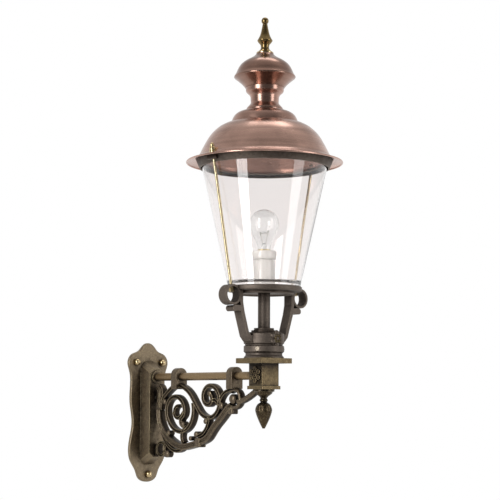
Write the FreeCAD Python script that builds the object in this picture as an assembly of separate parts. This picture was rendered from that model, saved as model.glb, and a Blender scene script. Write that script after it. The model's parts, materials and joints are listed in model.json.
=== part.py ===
import FreeCAD, Part
import math
import os

V = FreeCAD.Vector

# Outdoor wall light: a cast wall plate and scroll bracket carry an arm, and a
# glazed lantern with a spun copper roof stands on the arm's end.
# Millimetres. X points out of the wall, Z points up, and Y = 0 is the mirror plane.
# The origin is on the wall plane, on the axis of the arm tube.

# Arm
arm_reach = 395.0
tube_od = 17.0
tube_wall = 2.0
tube_start = 24.0
tube_socket = 16.0
bore_gap = 0.05

# Wall plate
plate_thick = 7.0
plate_top = 76.0
plate_bottom = -231.0
shoulder_half = 54.0
shoulder_z = 34.0
neck_half = 47.5
neck_z = 0.0
waist_half = 41.0
waist_z = -102.0
hip_half = 48.5
hip_z = -145.0
toe_half = 31.0
toe_z = -205.0

# Raised plinth of the wall plate, hollow behind
plinth_front = 36.0
plinth_base_half = 22.5
plinth_front_half = 18.0
plinth_top = 38.0
plinth_bottom = -195.0
plinth_bevel = 19.0
plinth_corner = 10.0
plinth_wall = 4.5
pocket_top = -22.0
back_wall = 5.0
plate_edge_r = 2.5
boss_r = 14.0
boss_length = 4.0

# Fixing holes of the wall plate and the dome nuts over them
fixing_hole_r = 3.5
upper_fixing_y = 35.0
upper_fixing_z = 33.0
lower_fixing_z = -214.0
dome_nut_r = 7.5
dome_nut_rise = 9.5
dome_nut_bore_r = 2.6

# Scroll bracket
bracket_thick = 16.0
scroll_width = 9.0
bow_width = 14.0
twig_width = 8.0
brace_width = 13.0
front_volute_x = 231.0
front_volute_z = -48.0
rear_volute_x = 131.0
rear_volute_z = -80.0
bow_low_x = 135.0
bow_low_z = -151.0
loop_length = 19.0
rear_loop_x = 107.0
front_loop_x = 293.0
loop_half = 15.5
loop_top = 19.0
loop_foot = -27.0
front_ring_x = 309.0
front_ring_z = -47.0
front_ring_r = 17.0
ring_boss_r = 10.5
eye_x = 64.0
eye_z = -158.0
eye_ring_r = 13.5
eye_ring_width = 7.0
bolt_r = 4.0
bolt_head_r = 7.5
bolt_head_height = 5.3
bolt_depth = 12.0
upper_bolt_z = -45.0
lower_bolt_z = -159.0

# Junction block, its plates and the spigot for the lantern
block_side = 44.0
block_bottom = -21.0
block_top = 24.5
top_plate_side = 82.0
top_plate_thick = 10.5
low_flange_side = 49.0
low_flange_thick = 7.0
block_corner_r = 2.0
wire_way_r = 10.0
spigot_r = 30.0
spigot_wall = 6.0
spigot_height = 40.0
rosette_r = 11.5
petal_r = 5.6
petal_rise = 2.2
petal_count = 6

# Drop finial under the block
drop_length = 79.0
drop_cup_r = 22.0
drop_neck_r = 6.5
drop_acorn_r = 17.4

# Lantern fork: collar, arms and eyes
collar_r = 41.3
collar_groove_r = 37.5
collar_height = 52.0
spigot_gap = 0.06
collar_roof = 11.0
step_low_r = 26.0
step_high_r = 20.5
step_height = 4.5
fork_width = 23.0
fork_arm_thick = 8.0
fork_root_y = 38.0
fork_knee_y = 55.0
fork_top_y = 74.0
fork_eye_y = 91.0
fork_eye_z = 160.5
fork_eye_r = 20.5
fork_eye_hole_r = 16.3
curl_y = 86.0
curl_z = 133.5
curl_r = 6.2
set_screw_r = 4.5
set_screw_z = 53.5
set_screw_count = 3
set_screw_turn = -60.0
set_screw_proud = 1.0
set_screw_tip_gap = 0.3

# Stem and glass tray
stem_r = 12.5
stem_wall = 2.5
stem_socket = 14.0
tray_r = 77.5
tray_bottom = 162.5
tray_hub_r = 62.0
tray_hub_height = 8.0
tray_flange_thick = 10.5
glass_groove_depth = 4.0
groove_gap = 1.0

# Glass cone
glass_low_r = 73.5
glass_high_r = 130.0
glass_wall = 4.0
glass_top = 430.0
gasket_thick = 1.5

# Roof ring that seats on the glass
ring_clear = 4.5
ring_slope = 0.40
ring_wall = 3.0
ring_bottom = 425.0
ring_ledge_r = 122.0
ring_ledge_thick = 3.0
lug_length = 24.0
lug_depth = 16.0
lug_height = 13.0
lug_z = 436.0

# Spun copper roof
copper_wall = 1.5
brim_width = 31.0
brim_z = 435.0
dome_over_glass = 1.0
dome_foot_z = 457.0
dome_top_r = 76.0
dome_top_z = 519.0
dome_hole_r = 60.0
shoulder_foot_r = 70.0
shoulder_height = 28.0
roof_neck_r = 29.2
neck_bead_r = 39.5
neck_height = 47.5
cap_foot_r = 41.0
cap_r = 63.8
cap_widest = 22.0
cap_height = 72.5
cap_crown_r = 18.0
washer_r = 17.7
washer_height = 5.0
finial_height = 72.0
finial_r = 16.0
finial_ball_r = 8.0
tie_r = 5.0
tie_thread = 15.0
clamp_disc_r = 68.0
clamp_disc_thick = 2.0
tie_nut_r = 9.0
tie_nut_height = 8.0

# Tie rods that pull the roof onto the glass
rod_r = 3.0
rod_foot_y = 86.0
rod_foot_z = 166.0
rod_from_dome = 7.5
rod_head_z = 447.0
rod_gap = 0.1
rod_washer_r = 8.0
rod_washer_rise = 2.0
roof_nut_r = 6.2
roof_nut_height = 12.0
foot_nut_r = 5.6
foot_nut_height = 5.0

# Lampholder and lamp
holder_r = 22.5
holder_height = 55.0
holder_ring_r = 23.6
holder_ring_height = 18.0
holder_floor = 41.0
socket_r = 14.4
socket_wall = 0.8
contact_r = 5.0
contact_thick = 2.0
tongue_r = 3.0
tongue_height = 4.0
lamp_cap_r = 13.2
lamp_cap_height = 25.0
lamp_neck_r = 12.2
lamp_cap_wall = 0.3
lamp_r = 30.0
lamp_shoulder_height = 54.0
lamp_crown_height = 29.5
lamp_wall = 0.8

# Leads
lead_r = 3.5
lead_gap = 0.3
lead_bend = 15.0
lead_tail_bend = 9.0
lead_joint_z = 60.0
terminal_width = 22.0
terminal_height = 12.0
terminal_depth = 22.0

# Places worked out from the sizes above
top_plate_top = block_top + top_plate_thick
tray_seat = tray_bottom + tray_hub_height
tray_top = tray_seat + tray_flange_thick
groove_floor = tray_top - glass_groove_depth
glass_bottom = groove_floor + gasket_thick
collar_top = top_plate_top + collar_height
dome_collar_top = collar_top + 2 * step_height
holder_bottom = tray_top
socket_floor = holder_bottom + holder_floor
holder_joint = holder_bottom + holder_height
lamp_base = socket_floor + contact_thick + tongue_height
lamp_cap_low = lamp_base + 4
lamp_cap_top = lamp_cap_low + lamp_cap_height
lamp_widest = lamp_cap_top + lamp_shoulder_height
lamp_top = lamp_widest + lamp_crown_height
ring_low_r = glass_high_r + ring_clear
dome_foot_r = glass_high_r + dome_over_glass
brim_r = dome_foot_r + brim_width
rod_head_y = dome_foot_r + rod_from_dome
shoulder_top = dome_top_z + shoulder_height
neck_top = shoulder_top + neck_height
cap_top = neck_top + cap_height
finial_base = cap_top + washer_height
pocket_front = plinth_front - plinth_wall
low_flange_bottom = block_bottom - low_flange_thick
tube_ir = tube_od / 2 - tube_wall
tube_end = arm_reach - block_side / 2 + tube_socket


def move_to_axis(shape):
    shape.translate(V(arm_reach, 0, 0))
    return shape


def turned(points):
    """A solid turned about the lantern's upright axis from radius and height points."""
    loop = [V(r, 0, z) for r, z in points]
    face = Part.Face(Part.makePolygon(loop + loop[:1]))
    return move_to_axis(face.revolve(V(0, 0, 0), V(0, 0, 1), 360))


def upright(radius, low, high):
    """A cylinder on the lantern's axis."""
    return move_to_axis(Part.makeCylinder(radius, high - low, V(0, 0, low)))


def tube_ring(outer, inner, low, high):
    return upright(outer, low, high).cut(upright(inner, low - 1, high + 1))


def spline(points):
    curve = Part.BSplineCurve()
    curve.interpolate(points)
    return curve.toShape()


def offset_points(points, distance):
    """The points moved sideways by a distance, to the left of the way they run."""
    moved = []
    last = len(points) - 1
    for i, (r, z) in enumerate(points):
        r0, z0 = points[max(i - 1, 0)]
        r1, z1 = points[min(i + 1, last)]
        length = math.hypot(r1 - r0, z1 - z0)
        moved.append((r - distance * (z1 - z0) / length, z + distance * (r1 - r0) / length))
    return moved


def spun_face(outer, inner):
    """The section between two lines of radius and height points."""
    out = [V(r, 0, z) for r, z in outer]
    back = [V(r, 0, z) for r, z in inner]
    edges = [spline(out), Part.LineSegment(out[-1], back[-1]).toShape()]
    edges += [spline(back), Part.LineSegment(back[0], out[0]).toShape()]
    return Part.Face(Part.Wire(Part.__sortEdges__(edges)))


def spun(section):
    return move_to_axis(section.revolve(V(0, 0, 0), V(0, 0, 1), 360))


def tangent_arcs(points, heading):
    """Edges that leave the first point at a heading in degrees and pass each point as tangent arcs."""
    edges = []
    angle = math.radians(heading)
    for (x0, z0), (x1, z1) in zip(points, points[1:]):
        chord = math.atan2(z1 - z0, x1 - x0)
        half = (chord - angle + math.pi) % (2 * math.pi) - math.pi
        length = math.hypot(x1 - x0, z1 - z0)
        rise = length / 2 * math.tan(half / 2)
        middle = V((x0 + x1) / 2 + rise * math.sin(chord), 0, (z0 + z1) / 2 - rise * math.cos(chord))
        edges.append(Part.Arc(V(x0, 0, z0), middle, V(x1, 0, z1)).toShape())
        angle = chord + half
    return edges


def strip(points, heading, width):
    """A flat band of the scrollwork, with round ends, in the mirror plane."""
    path = Part.Wire(tangent_arcs(points, heading))
    return Part.Face(path.makeOffset2D(width / 2, 0, False, False, False))


def disc(x, z, radius):
    return Part.Face(Part.Wire(Part.makeCircle(radius, V(x, 0, z), V(0, 1, 0))))


def ring_face(x, z, middle_r, width):
    return disc(x, z, middle_r + width / 2).cut(disc(x, z, middle_r - width / 2))


def flat_shape(points):
    loop = [V(x, 0, z) for x, z in points]
    return Part.Face(Part.makePolygon(loop + loop[:1]))


def box(x0, x1, y0, y1, z0, z1):
    return Part.makeBox(x1 - x0, y1 - y0, z1 - z0, V(x0, y0, z0))


def centred_block(side, low, high):
    shape = box(arm_reach - side / 2, arm_reach + side / 2, -side / 2, side / 2, low, high)
    upright_edges = [e for e in shape.Edges if abs(e.Vertexes[0].Z - e.Vertexes[1].Z) > 1]
    return shape.makeFillet(block_corner_r, upright_edges)


def fuse_all(shapes):
    whole = shapes[0].multiFuse(shapes[1:])
    return whole.removeSplitter()


def hexagon(radius, height, base, direction):
    wire = Part.makePolygon([V(radius * math.cos(math.radians(60 * i)),
                               radius * math.sin(math.radians(60 * i)), 0) for i in range(7)])
    shape = Part.Face(wire).extrude(V(0, 0, height))
    shape.Placement = FreeCAD.Placement(base, FreeCAD.Rotation(V(0, 0, 1), direction))
    return shape


def fixing_places():
    return [(-upper_fixing_y, upper_fixing_z), (upper_fixing_y, upper_fixing_z), (0, lower_fixing_z)]


# Wall plate


def plate_outline():
    right = [
        (0, plate_top),
        (shoulder_half * 0.26, plate_top - 6),
        (shoulder_half * 0.5, shoulder_z + 23.5),
        (shoulder_half * 0.8, shoulder_z + 17),
        (shoulder_half, shoulder_z),
        (neck_half + 1.5, (shoulder_z + neck_z) / 2 - 4),
        (neck_half, (neck_z + waist_z) / 2),
        (waist_half, waist_z),
        (hip_half, hip_z),
        (hip_half - 4, (hip_z + toe_z) / 2 - 9),
        (toe_half, toe_z),
        (toe_half * 0.75, (toe_z + plate_bottom) / 2 - 4),
        (0, plate_bottom),
    ]
    left = [(-y, z) for y, z in reversed(right[1:-1])]
    curve = Part.BSplineCurve()
    curve.interpolate([V(0, y, z) for y, z in right + left], PeriodicFlag=True)
    return Part.Face(Part.Wire(curve.toShape()))


def hipped(base_x, front_x, inset):
    """The plinth's form, or its hollow when it is drawn in by an inset."""
    def loop(x, half, bevel):
        low = plinth_bottom + inset + bevel
        high = plinth_top - inset - bevel
        cut = plinth_corner
        right = [(half - cut, low), (half, low + cut), (half, high - cut), (half - cut, high)]
        left = [(-y, z) for y, z in reversed(right)]
        return Part.makePolygon([V(x, y, z) for y, z in right + left + right[:1]])
    base = loop(base_x, plinth_base_half - inset, 0)
    front = loop(front_x, plinth_front_half - inset, plinth_bevel)
    return Part.makeLoft([base, front], True, True)


def wiring_space():
    """The hollow behind the plinth, and the short way up from it to the arm's end."""
    below = box(-2, plinth_front, -plinth_base_half, plinth_base_half, plinth_bottom, pocket_top)
    pocket = hipped(-1, pocket_front, plinth_wall).common(below)
    channel = box(back_wall, tube_start, -tube_ir, tube_ir, pocket_top - 1, 0)
    head = Part.makeCylinder(tube_ir, tube_start - back_wall, V(back_wall, 0, 0), V(1, 0, 0))
    return [pocket, channel, head]


def wall_plate():
    slab = plate_outline().extrude(V(plate_thick, 0, 0))
    rim = [e for e in slab.Edges if abs(e.BoundBox.XMin - plate_thick) < 0.01]
    slab = slab.makeFillet(plate_edge_r, rim)
    boss = Part.makeCylinder(boss_r, boss_length + plinth_wall, V(pocket_front, 0, 0), V(1, 0, 0))
    plate = fuse_all([slab, hipped(plate_thick / 2, plinth_front, 0), boss])
    cuts = wiring_space()
    cuts.append(Part.makeCylinder(tube_od / 2 + bore_gap, plinth_front + boss_length,
                                  V(tube_start, 0, 0), V(1, 0, 0)))
    for y, z in fixing_places():
        cuts.append(Part.makeCylinder(fixing_hole_r, plate_thick + 2, V(-1, y, z), V(1, 0, 0)))
    for z in (upper_bolt_z, lower_bolt_z):
        cuts.append(Part.makeCylinder(bolt_r + bore_gap, plinth_front + 1, V(0, 0, z), V(1, 0, 0)))
    return plate.cut(Part.makeCompound(cuts))


def plate_nuts():
    """Brass dome nuts that close the plate's fixing holes."""
    ball_r = (dome_nut_r ** 2 + dome_nut_rise ** 2) / (2 * dome_nut_rise)
    nuts = []
    for y, z in fixing_places():
        ball = Part.makeSphere(ball_r, V(plate_thick + dome_nut_rise - ball_r, y, z))
        front = box(plate_thick, plate_thick + 2 * ball_r, y - 2 * ball_r, y + 2 * ball_r,
                    z - 2 * ball_r, z + 2 * ball_r)
        bore = Part.makeCylinder(dome_nut_bore_r, dome_nut_rise - 2, V(plate_thick, y, z), V(1, 0, 0))
        nuts.append(ball.common(front).cut(bore))
    return Part.makeCompound(nuts)


def terminal_block():
    high = pocket_top - lead_gap
    return box(pocket_front - terminal_depth, pocket_front, -terminal_width / 2, terminal_width / 2,
               high - terminal_height, high)


# Arm and scroll bracket


def arm_tube():
    length = tube_end - tube_start
    outer = Part.makeCylinder(tube_od / 2, length, V(tube_start, 0, 0), V(1, 0, 0))
    return outer.cut(Part.makeCylinder(tube_ir, length, V(tube_start, 0, 0), V(1, 0, 0)))


def loop_block(x):
    """A block with a round top that the arm tube passes through."""
    low = box(x, x + loop_length, -loop_half, loop_half, loop_foot, loop_top - loop_half)
    top = Part.makeCylinder(loop_half, loop_length, V(x, 0, loop_top - loop_half), V(1, 0, 0))
    return low.fuse(top)


def about(x, z, offsets):
    """Points given by their offsets from a centre."""
    return [(x + dx, z + dz) for dx, dz in offsets]


def scrollwork():
    """The flat outline of the scrolls, as one face in the mirror plane."""
    back = plinth_front
    brace_start = front_ring_x + front_ring_r - 1
    brace_end = arm_reach - 12
    front_eye = about(front_volute_x, front_volute_z, [
        (-2, 10), (8, 0), (-7, -14), (-23, 5), (0, 27), (30, 0), (-3, -39), (-38, -25)])
    over = about(rear_volute_x, rear_volute_z, [(41, 34), (3, 58), (-33, 50), (-63, 28)])
    rear = about(rear_volute_x, rear_volute_z, [
        (40, 32), (45, -2), (6, -39), (-39, -1), (-5, 35), (19, 13), (-3, -9), (-20, 5), (-10, 16)])
    bow = about(bow_low_x, bow_low_z, [
        (-78, 81), (-74, 51), (-45, 14), (0, 0), (105, 39), (146, 74), (165, 83)])
    tail = about(eye_x, eye_z, [(-6, 62), (2, 31), (34, -3)])
    bands = [
        # the long S, from the front volute under and over to the wall side
        strip(front_eye + over, 0, scroll_width),
        # the rear volute, which branches off the S
        strip(rear, -78, scroll_width),
        # the bow along the bottom, and its tail over the eye
        strip(bow, -90, bow_width),
        strip(tail, -82, twig_width),
        # short bands between the scrolls
        strip([(rear_volute_x + 7, rear_volute_z - 4), (bow_low_x + 6, bow_low_z + 3)], -88, twig_width),
        strip(about(front_volute_x, front_volute_z, [(-5, -36), (-10, -60), (-41, -82)]), -95, twig_width),
        strip(about(front_ring_x, front_ring_z, [(-11, 21), (-30, 11), (-46, -11)]), 200, twig_width),
        # the brace up to the junction block
        strip([(brace_start, front_ring_z - 7), ((brace_start + brace_end) / 2 - 2, front_ring_z + 1),
               (brace_end, low_flange_bottom - 4)], 10, brace_width),
        ring_face(front_ring_x, front_ring_z, front_ring_r, twig_width),
        ring_face(eye_x, eye_z, eye_ring_r, eye_ring_width),
        # knobs, a thorn and the block between the eye and the tail
        disc(front_ring_x - 6, front_ring_z - 2, ring_boss_r),
        disc(eye_x + 33, eye_z - 8, bow_width / 2 + 1),
        disc(bow_low_x + 61, bow_low_z + 7, bow_width * 0.75),
        disc(front_ring_x - 3, front_ring_z - 26, bow_width / 2),
        flat_shape(about(front_volute_x, front_volute_z, [(-9, -44), (-24, -46), (-11, -58)])),
        flat_shape(about(eye_x, eye_z, [(11, 10), (34, 0), (40, -8), (33, -15), (6, -15)])),
        # the pads on the wall plate, one at each bolt
        flat_shape(about(back, upper_bolt_z, [
            (0, 23), (12, 31), (26, 23), (31, 1), (26, -29), (0, -21)])),
        flat_shape([(back, eye_z - 12), (eye_x - eye_ring_r + 3, eye_z - 8),
                    (eye_x - eye_ring_r + 3, eye_z + 10), (back, eye_z + 12)]),
    ]
    return fuse_all(bands)


def scroll_bracket(block, finial):
    face = scrollwork()
    face.translate(V(0, -bracket_thick / 2, 0))
    web = face.extrude(V(0, bracket_thick, 0))
    bracket = fuse_all([web, loop_block(rear_loop_x), loop_block(front_loop_x)])
    cuts = [Part.makeCylinder(tube_od / 2 + bore_gap, arm_reach, V(0, 0, 0), V(1, 0, 0))]
    for z in (upper_bolt_z, lower_bolt_z):
        hole_start = V(plinth_front - 1, 0, z)
        cuts.append(Part.makeCylinder(bolt_r + bore_gap, bolt_depth + 1, hole_start, V(1, 0, 0)))
    return bracket.cut(Part.makeCompound(cuts)).cut(block).cut(finial)


def bracket_bolts():
    bolts = []
    for z in (upper_bolt_z, lower_bolt_z):
        head = hexagon(bolt_head_r, bolt_head_height, V(pocket_front - bolt_head_height, 0, z), V(1, 0, 0))
        shank = Part.makeCylinder(bolt_r, plinth_wall + bolt_depth, V(pocket_front, 0, z), V(1, 0, 0))
        bolts.append(head.fuse(shank))
    return Part.makeCompound(bolts)


# Junction block and drop finial


def rosette(centre, normal, side):
    """Round petals about a bud, sunk into a face."""
    petals = [Part.makeSphere(petal_r, centre - normal * (petal_r - petal_rise))]
    for i in range(petal_count):
        turn = math.radians(90 + i * 360 / petal_count)
        at = centre + side * (rosette_r * math.cos(turn)) + V(0, 0, rosette_r * math.sin(turn))
        petals.append(Part.makeSphere(petal_r, at - normal * (petal_r - petal_rise)))
    return petals


def junction_block():
    middle = (block_bottom + block_top) / 2
    half = block_side / 2
    body = [
        centred_block(block_side, block_bottom, block_top),
        centred_block(top_plate_side, block_top, top_plate_top),
        centred_block(low_flange_side, low_flange_bottom, block_bottom),
        upright(spigot_r, top_plate_top, top_plate_top + spigot_height),
    ]
    body += rosette(V(arm_reach, -half, middle), V(0, -1, 0), V(1, 0, 0))
    body += rosette(V(arm_reach, half, middle), V(0, 1, 0), V(1, 0, 0))
    block = fuse_all(body)
    cuts = [
        upright(spigot_r - spigot_wall, top_plate_top, top_plate_top + spigot_height + 1),
        upright(wire_way_r, -tube_od / 2, top_plate_top + 1),
        Part.makeCylinder(tube_od / 2 + bore_gap, tube_socket, V(arm_reach - half, 0, 0), V(1, 0, 0)),
        Part.makeCylinder(tube_ir, half, V(arm_reach - half, 0, 0), V(1, 0, 0)),
    ]
    return block.cut(Part.makeCompound(cuts))


def drop_finial():
    top = low_flange_bottom
    tip = top - drop_length
    neck = [
        (0, top), (drop_cup_r, top), (drop_cup_r, top - 4), (drop_cup_r - 4, top - 6),
        (drop_cup_r - 5, top - 9), (drop_neck_r + 3, top - 14), (drop_neck_r, top - 18),
        (drop_neck_r + 2.3, top - 22), (drop_neck_r, top - 26),
    ]
    acorn = [
        (drop_neck_r, top - 26), (drop_acorn_r - 4, top - 31), (drop_acorn_r, top - 41),
        (drop_acorn_r - 2.5, top - 52), (drop_acorn_r * 0.55, tip + 14), (2.5, tip),
    ]
    edges = [Part.LineSegment(V(a[0], 0, a[1]), V(b[0], 0, b[1])).toShape() for a, b in zip(neck, neck[1:])]
    edges.append(spline([V(r, 0, z) for r, z in acorn]))
    edges.append(Part.LineSegment(V(2.5, 0, tip), V(0, 0, tip)).toShape())
    edges.append(Part.LineSegment(V(0, 0, tip), V(0, 0, top)).toShape())
    return spun(Part.Face(Part.Wire(edges)))


# Lantern fork, stem and tray


def collar():
    low = top_plate_top
    ledge = collar_top
    outline = [
        (spigot_r + spigot_gap, low), (collar_r - 0.5, low), (collar_r - 0.5, low + 2),
        (collar_groove_r, low + 6), (collar_groove_r, low + 10), (collar_r, low + 13),
        (collar_r, low + 24), (collar_groove_r + 1, low + 26), (collar_groove_r + 1, low + 28),
        (collar_r, low + 30), (collar_r, ledge - 3), (collar_r - 4, ledge), (step_low_r, ledge),
        (step_low_r, ledge + step_height), (step_high_r, ledge + step_height),
        (step_high_r, dome_collar_top), (stem_r, dome_collar_top),
        (stem_r, dome_collar_top - stem_socket), (wire_way_r, dome_collar_top - stem_socket),
        (wire_way_r, ledge - collar_roof), (spigot_r + spigot_gap, ledge - collar_roof),
    ]
    return turned(outline)


def fork_arm(side):
    """One arm with its eye and the curl under it, on the side of Y that is given."""
    bend_z = curl_z - curl_r - 1
    shoulder_y = fork_top_y - 4
    outline = [
        (fork_root_y, collar_top - 22), (fork_knee_y - 9, collar_top - 19), (fork_knee_y, collar_top - 9),
        (shoulder_y, bend_z), (fork_top_y - 1, fork_eye_z - 14), (fork_top_y, tray_seat),
        (fork_top_y - fork_arm_thick, tray_seat), (fork_top_y - fork_arm_thick, fork_eye_z - 14),
        (shoulder_y - fork_arm_thick, bend_z), (fork_knee_y - 5, collar_top - 1),
        (fork_knee_y - 11, collar_top - 7), (fork_root_y, collar_top - 7),
    ]
    start = arm_reach - fork_width / 2
    along = V(fork_width, 0, 0)
    loop = [V(start, side * y, z) for y, z in outline]
    arm = Part.Face(Part.makePolygon(loop + loop[:1])).extrude(along)
    eye = Part.makeCylinder(fork_eye_r, fork_width, V(start, side * fork_eye_y, fork_eye_z), V(1, 0, 0))
    curl = Part.makeCylinder(curl_r, fork_width, V(start, side * curl_y, curl_z), V(1, 0, 0))
    web_y = sorted((side * curl_y, side * (shoulder_y - 2)))
    web = box(start, start + fork_width, web_y[0], web_y[1], curl_z - curl_r + 1, curl_z + curl_r)
    return [arm, eye, curl, web]


def eye_hole(side):
    start = V(arm_reach - fork_width / 2 - 1, side * fork_eye_y, fork_eye_z)
    return Part.makeCylinder(fork_eye_hole_r, fork_width + 2, start, V(1, 0, 0))


def rod_axis(side):
    """The foot and the unit direction of a tie rod's axis."""
    foot = V(arm_reach, side * rod_foot_y, rod_foot_z)
    head = V(arm_reach, side * rod_head_y, rod_head_z)
    return foot, (head - foot).normalize()


def rod_bore(side):
    foot, way = rod_axis(side)
    return Part.makeCylinder(rod_r + rod_gap, rod_head_z - rod_foot_z + 60, foot - way * 5, way)


def set_screw_places():
    step = 360 / set_screw_count
    return [math.radians(set_screw_turn + i * step) for i in range(set_screw_count)]


def lantern_fork():
    pieces = [collar()] + fork_arm(-1) + fork_arm(1)
    middle = collar_top - 13
    pieces += rosette(V(arm_reach + collar_r, 0, middle), V(1, 0, 0), V(0, 1, 0))
    fork = fuse_all(pieces)
    cuts = [eye_hole(-1), eye_hole(1), rod_bore(-1), rod_bore(1)]
    cuts.append(upright(spigot_r + spigot_gap, top_plate_top - 1, collar_top - collar_roof))
    for turn in set_screw_places():
        cuts.append(Part.makeCylinder(set_screw_r, collar_r, V(arm_reach, 0, set_screw_z),
                                      V(math.cos(turn), math.sin(turn), 0)))
    return fork.cut(Part.makeCompound(cuts))


def set_screws():
    screws = []
    start = spigot_r + set_screw_tip_gap
    for turn in set_screw_places():
        way = V(math.cos(turn), math.sin(turn), 0)
        length = collar_r + set_screw_proud - start
        screw = Part.makeCylinder(set_screw_r, length, V(arm_reach, 0, set_screw_z) + way * start, way)
        slot = box(-1, 1, -set_screw_r, set_screw_r, -2, 2)
        slot.rotate(V(0, 0, 0), V(1, 0, 0), 90)
        slot.rotate(V(0, 0, 0), V(0, 0, 1), math.degrees(turn))
        slot.translate(V(arm_reach, 0, set_screw_z) + way * (start + length))
        screws.append(screw.cut(slot))
    return Part.makeCompound(screws)


def stem_tube():
    return tube_ring(stem_r, stem_r - stem_wall, dome_collar_top - stem_socket, tray_top)


def glass_line(z, inset=0.0):
    """The glass's outer radius at a height."""
    share = (z - glass_bottom) / (glass_top - glass_bottom)
    return glass_low_r + (glass_high_r - glass_low_r) * share - inset


def glass_tray(fork):
    groove_in = glass_low_r - glass_wall - groove_gap
    groove_out = glass_line(tray_top) + groove_gap
    rim = 3.0
    tray = turned([
        (stem_r, tray_bottom), (tray_hub_r - 3, tray_bottom), (tray_hub_r, tray_bottom + 3),
        (tray_hub_r, tray_seat), (tray_r - rim, tray_seat), (tray_r, tray_seat + rim),
        (tray_r, tray_top - rim + 1), (tray_r - rim + 1, tray_top), (groove_out, tray_top),
        (groove_out, groove_floor), (groove_in, groove_floor), (groove_in, tray_top), (stem_r, tray_top),
    ])
    return tray.cut(fork).cut(Part.makeCompound([eye_hole(-1), eye_hole(1)]))


def tray_gasket():
    return tube_ring(glass_low_r + groove_gap / 2, glass_low_r - glass_wall - groove_gap / 2,
                     groove_floor, glass_bottom)


def glass_cone():
    return turned([
        (glass_low_r - glass_wall, glass_bottom), (glass_low_r, glass_bottom),
        (glass_high_r, glass_top), (glass_high_r - glass_wall, glass_top),
    ])


# Roof


def dome_lines():
    outer = [
        (brim_r, brim_z), (brim_r - brim_width * 0.13, brim_z + 5.5),
        (brim_r - brim_width * 0.42, brim_z + 12),
        (dome_foot_r + brim_width * 0.226, dome_foot_z - 3.5), (dome_foot_r, dome_foot_z),
        (dome_foot_r - 9, dome_foot_z + 16), (dome_foot_r - 16, dome_foot_z + 28),
        (dome_foot_r - 24, dome_foot_z + 38.5), (dome_foot_r - 36, dome_top_z - 12.5),
        (dome_top_r + 8, dome_top_z - 5), (dome_top_r, dome_top_z - 1.5),
    ]
    return outer, offset_points(outer, copper_wall)


def roof_dome():
    outer, inner = dome_lines()
    skin = spun(spun_face(outer, inner))
    land = tube_ring(outer[-1][0] + 0.2, dome_hole_r, inner[-1][1], dome_top_z)
    shell = fuse_all([skin, land])
    return shell.cut(Part.makeCompound([rod_bore(-1), rod_bore(1)]))


def under_dome():
    """The space under the dome's skin, which shapes what meets it from below."""
    inner = dome_lines()[1]
    floor = ring_bottom - 20
    line = spline([V(r, 0, z) for r, z in inner])
    corners = [V(inner[-1][0], 0, inner[-1][1]), V(0, 0, inner[-1][1]), V(0, 0, floor),
               V(inner[0][0], 0, floor), V(inner[0][0], 0, inner[0][1])]
    edges = [line] + [Part.LineSegment(a, b).toShape() for a, b in zip(corners, corners[1:])]
    return spun(Part.Face(Part.Wire(Part.__sortEdges__(edges))))


def over_dome(height):
    """The space above the dome's skin, up to a height."""
    outer = dome_lines()[0]
    line = spline([V(r, 0, z) for r, z in outer])
    corners = [V(outer[-1][0], 0, outer[-1][1]), V(outer[-1][0], 0, height),
               V(outer[0][0], 0, height), V(outer[0][0], 0, outer[0][1])]
    edges = [line] + [Part.LineSegment(a, b).toShape() for a, b in zip(corners, corners[1:])]
    return spun(Part.Face(Part.Wire(Part.__sortEdges__(edges))))


def ring_line(z):
    return ring_low_r + ring_slope * (z - ring_bottom)


def roof_ring():
    high = dome_foot_z
    ledge_low = glass_top + gasket_thick
    ledge_high = ledge_low + ring_ledge_thick
    band = turned([
        (ring_low_r - ring_wall, ring_bottom), (ring_low_r, ring_bottom),
        (ring_line(high), high), (ring_line(high) - ring_wall, high),
        (ring_line(ledge_high) - ring_wall, ledge_high), (ring_ledge_r, ledge_high),
        (ring_ledge_r, ledge_low), (ring_line(ledge_low) - ring_wall, ledge_low),
    ])
    pieces = [band]
    for side in (-1, 1):
        foot, way = rod_axis(side)
        rod_y = foot.y + way.y / way.z * (lug_z - foot.z)
        ends = sorted((side * (ring_line(lug_z) - ring_wall), rod_y + side * lug_depth / 2))
        pieces.append(box(arm_reach - lug_length / 2, arm_reach + lug_length / 2, ends[0], ends[1],
                          lug_z - lug_height / 2, lug_z + lug_height / 2))
    ring = fuse_all(pieces).common(under_dome())
    inside = turned([(0, ring_bottom - 20), (glass_line(ring_bottom - 20) + groove_gap, ring_bottom - 20),
                     (glass_line(ledge_low) + groove_gap, ledge_low), (0, ledge_low)])
    return ring.cut(inside).cut(Part.makeCompound([rod_bore(-1), rod_bore(1)]))


def ring_gasket():
    inner = glass_high_r - glass_wall - groove_gap
    return tube_ring(glass_high_r, inner, glass_top, glass_top + gasket_thick)


def roof_shoulder():
    base = dome_top_z
    outer = [
        (shoulder_foot_r, base), (shoulder_foot_r - 3, base + 8.5), (shoulder_foot_r - 6.5, base + 15),
        (shoulder_foot_r - 14, base + 21.5), (neck_bead_r + 6, shoulder_top - 2.6),
        (neck_bead_r, shoulder_top - 0.8),
    ]
    inner = offset_points(outer, copper_wall)
    inner[0] = (shoulder_foot_r - copper_wall, base)
    land = tube_ring(neck_bead_r + 0.2, roof_neck_r - 2, inner[-1][1], shoulder_top)
    return fuse_all([spun(spun_face(outer, inner)), land])


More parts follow.
